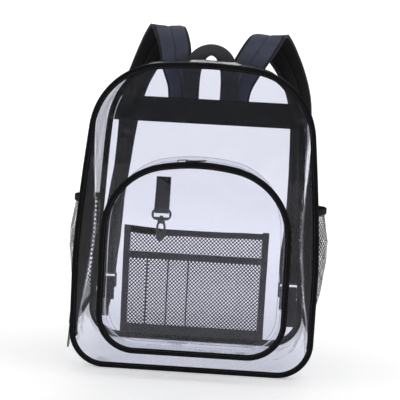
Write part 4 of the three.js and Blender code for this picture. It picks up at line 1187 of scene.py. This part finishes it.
# The room's strength from front to back
ROOM = (("From Min", -0.9), ("From Max", 0.4), ("To Min", 0.2), ("To Max", 0.3))
# Each light's name, place, what it is aimed at, size and watts
LIGHTS = (
    ("top", (0.0, -0.1, 2.1), (0, 0, 0.1), (3.2, 2.4), 15.5),
    ("left", (-1.6, -0.6, 0.8), (0, 0, 0.25), (0.5, 1.4), 8),
    ("right", (1.6, -0.5, 0.9), (0, 0, 0.25), (0.5, 1.4), 8),
    ("behind", (0.0, 0.9, 1.2), (0, 1.8, 0.5), (2.4, 0.8), 6.5),
)


def make_stage():
    """A pale floor, glowing faintly, that runs up into a pale wall behind."""
    n = Nodes("floor")
    cloud = n.noise(3, 2)
    n.put(n.shader, "Base Color", n.ramp(cloud, [(0.3, (0.92, 0.92, 0.925)), (0.7, (0.95, 0.95, 0.95))]))
    n.put(n.shader, "Roughness", 0.6)
    n.put(n.shader, "Emission Color", (1, 1, 1, 1))
    n.put(n.shader, "Emission Strength", FLOOR_GLOW)
    depth, radius, height, half = 1.4, 0.8, 4.0, 5.0
    profile = [(-5.0, 0.0), (depth, 0.0)]
    profile += [(depth + radius * math.sin(a), radius - radius * math.cos(a))
                for a in (math.pi / 2 * k / 16 for k in range(1, 17))]
    profile.append((depth + radius, height))
    points = [Vector((x, y, z)) for y, z in profile for x in (-half, half)]
    faces = [(2 * k, 2 * k + 1, 2 * k + 3, 2 * k + 2) for k in range(len(profile) - 1)]
    mesh = bpy.data.meshes.new("floor")
    mesh.from_pydata([tuple(p) for p in points], [], faces)
    mesh.polygons.foreach_set("use_smooth", [True] * len(faces))
    mesh.materials.append(n.material)
    floor = bpy.data.objects.new("floor", mesh)
    bpy.context.scene.collection.objects.link(floor)


def make_light(name, place, target, size, watts):
    data = bpy.data.lights.new(name, "AREA")
    data.shape = "RECTANGLE"
    data.size, data.size_y = size
    data.energy = watts
    light = bpy.data.objects.new(name, data)
    light.location = place
    light.rotation_mode = "QUATERNION"
    light.rotation_quaternion = (Vector(target) - Vector(place)).to_track_quat("-Z", "Y")
    bpy.context.scene.collection.objects.link(light)


def make_studio():
    """Soft light from above, both sides and behind, in a room a little darker at the front."""
    world = bpy.data.worlds.new("studio")
    world.use_nodes = True
    tree = world.node_tree
    background = tree.nodes["Background"]
    background.inputs["Color"].default_value = (1, 1, 1, 1)
    coordinates = tree.nodes.new("ShaderNodeTexCoord").outputs["Generated"]
    split = tree.nodes.new("ShaderNodeSeparateXYZ")
    tree.links.new(coordinates, split.inputs[0])
    ramp = tree.nodes.new("ShaderNodeMapRange")
    for socket, value in ROOM:
        ramp.inputs[socket].default_value = value
    tree.links.new(split.outputs["Y"], ramp.inputs["Value"])
    tree.links.new(ramp.outputs[0], background.inputs["Strength"])
    bpy.context.scene.world = world
    for light in LIGHTS:
        make_light(*light)
    bpy.context.scene.view_settings.view_transform = "Standard"


make_stage()
make_studio()
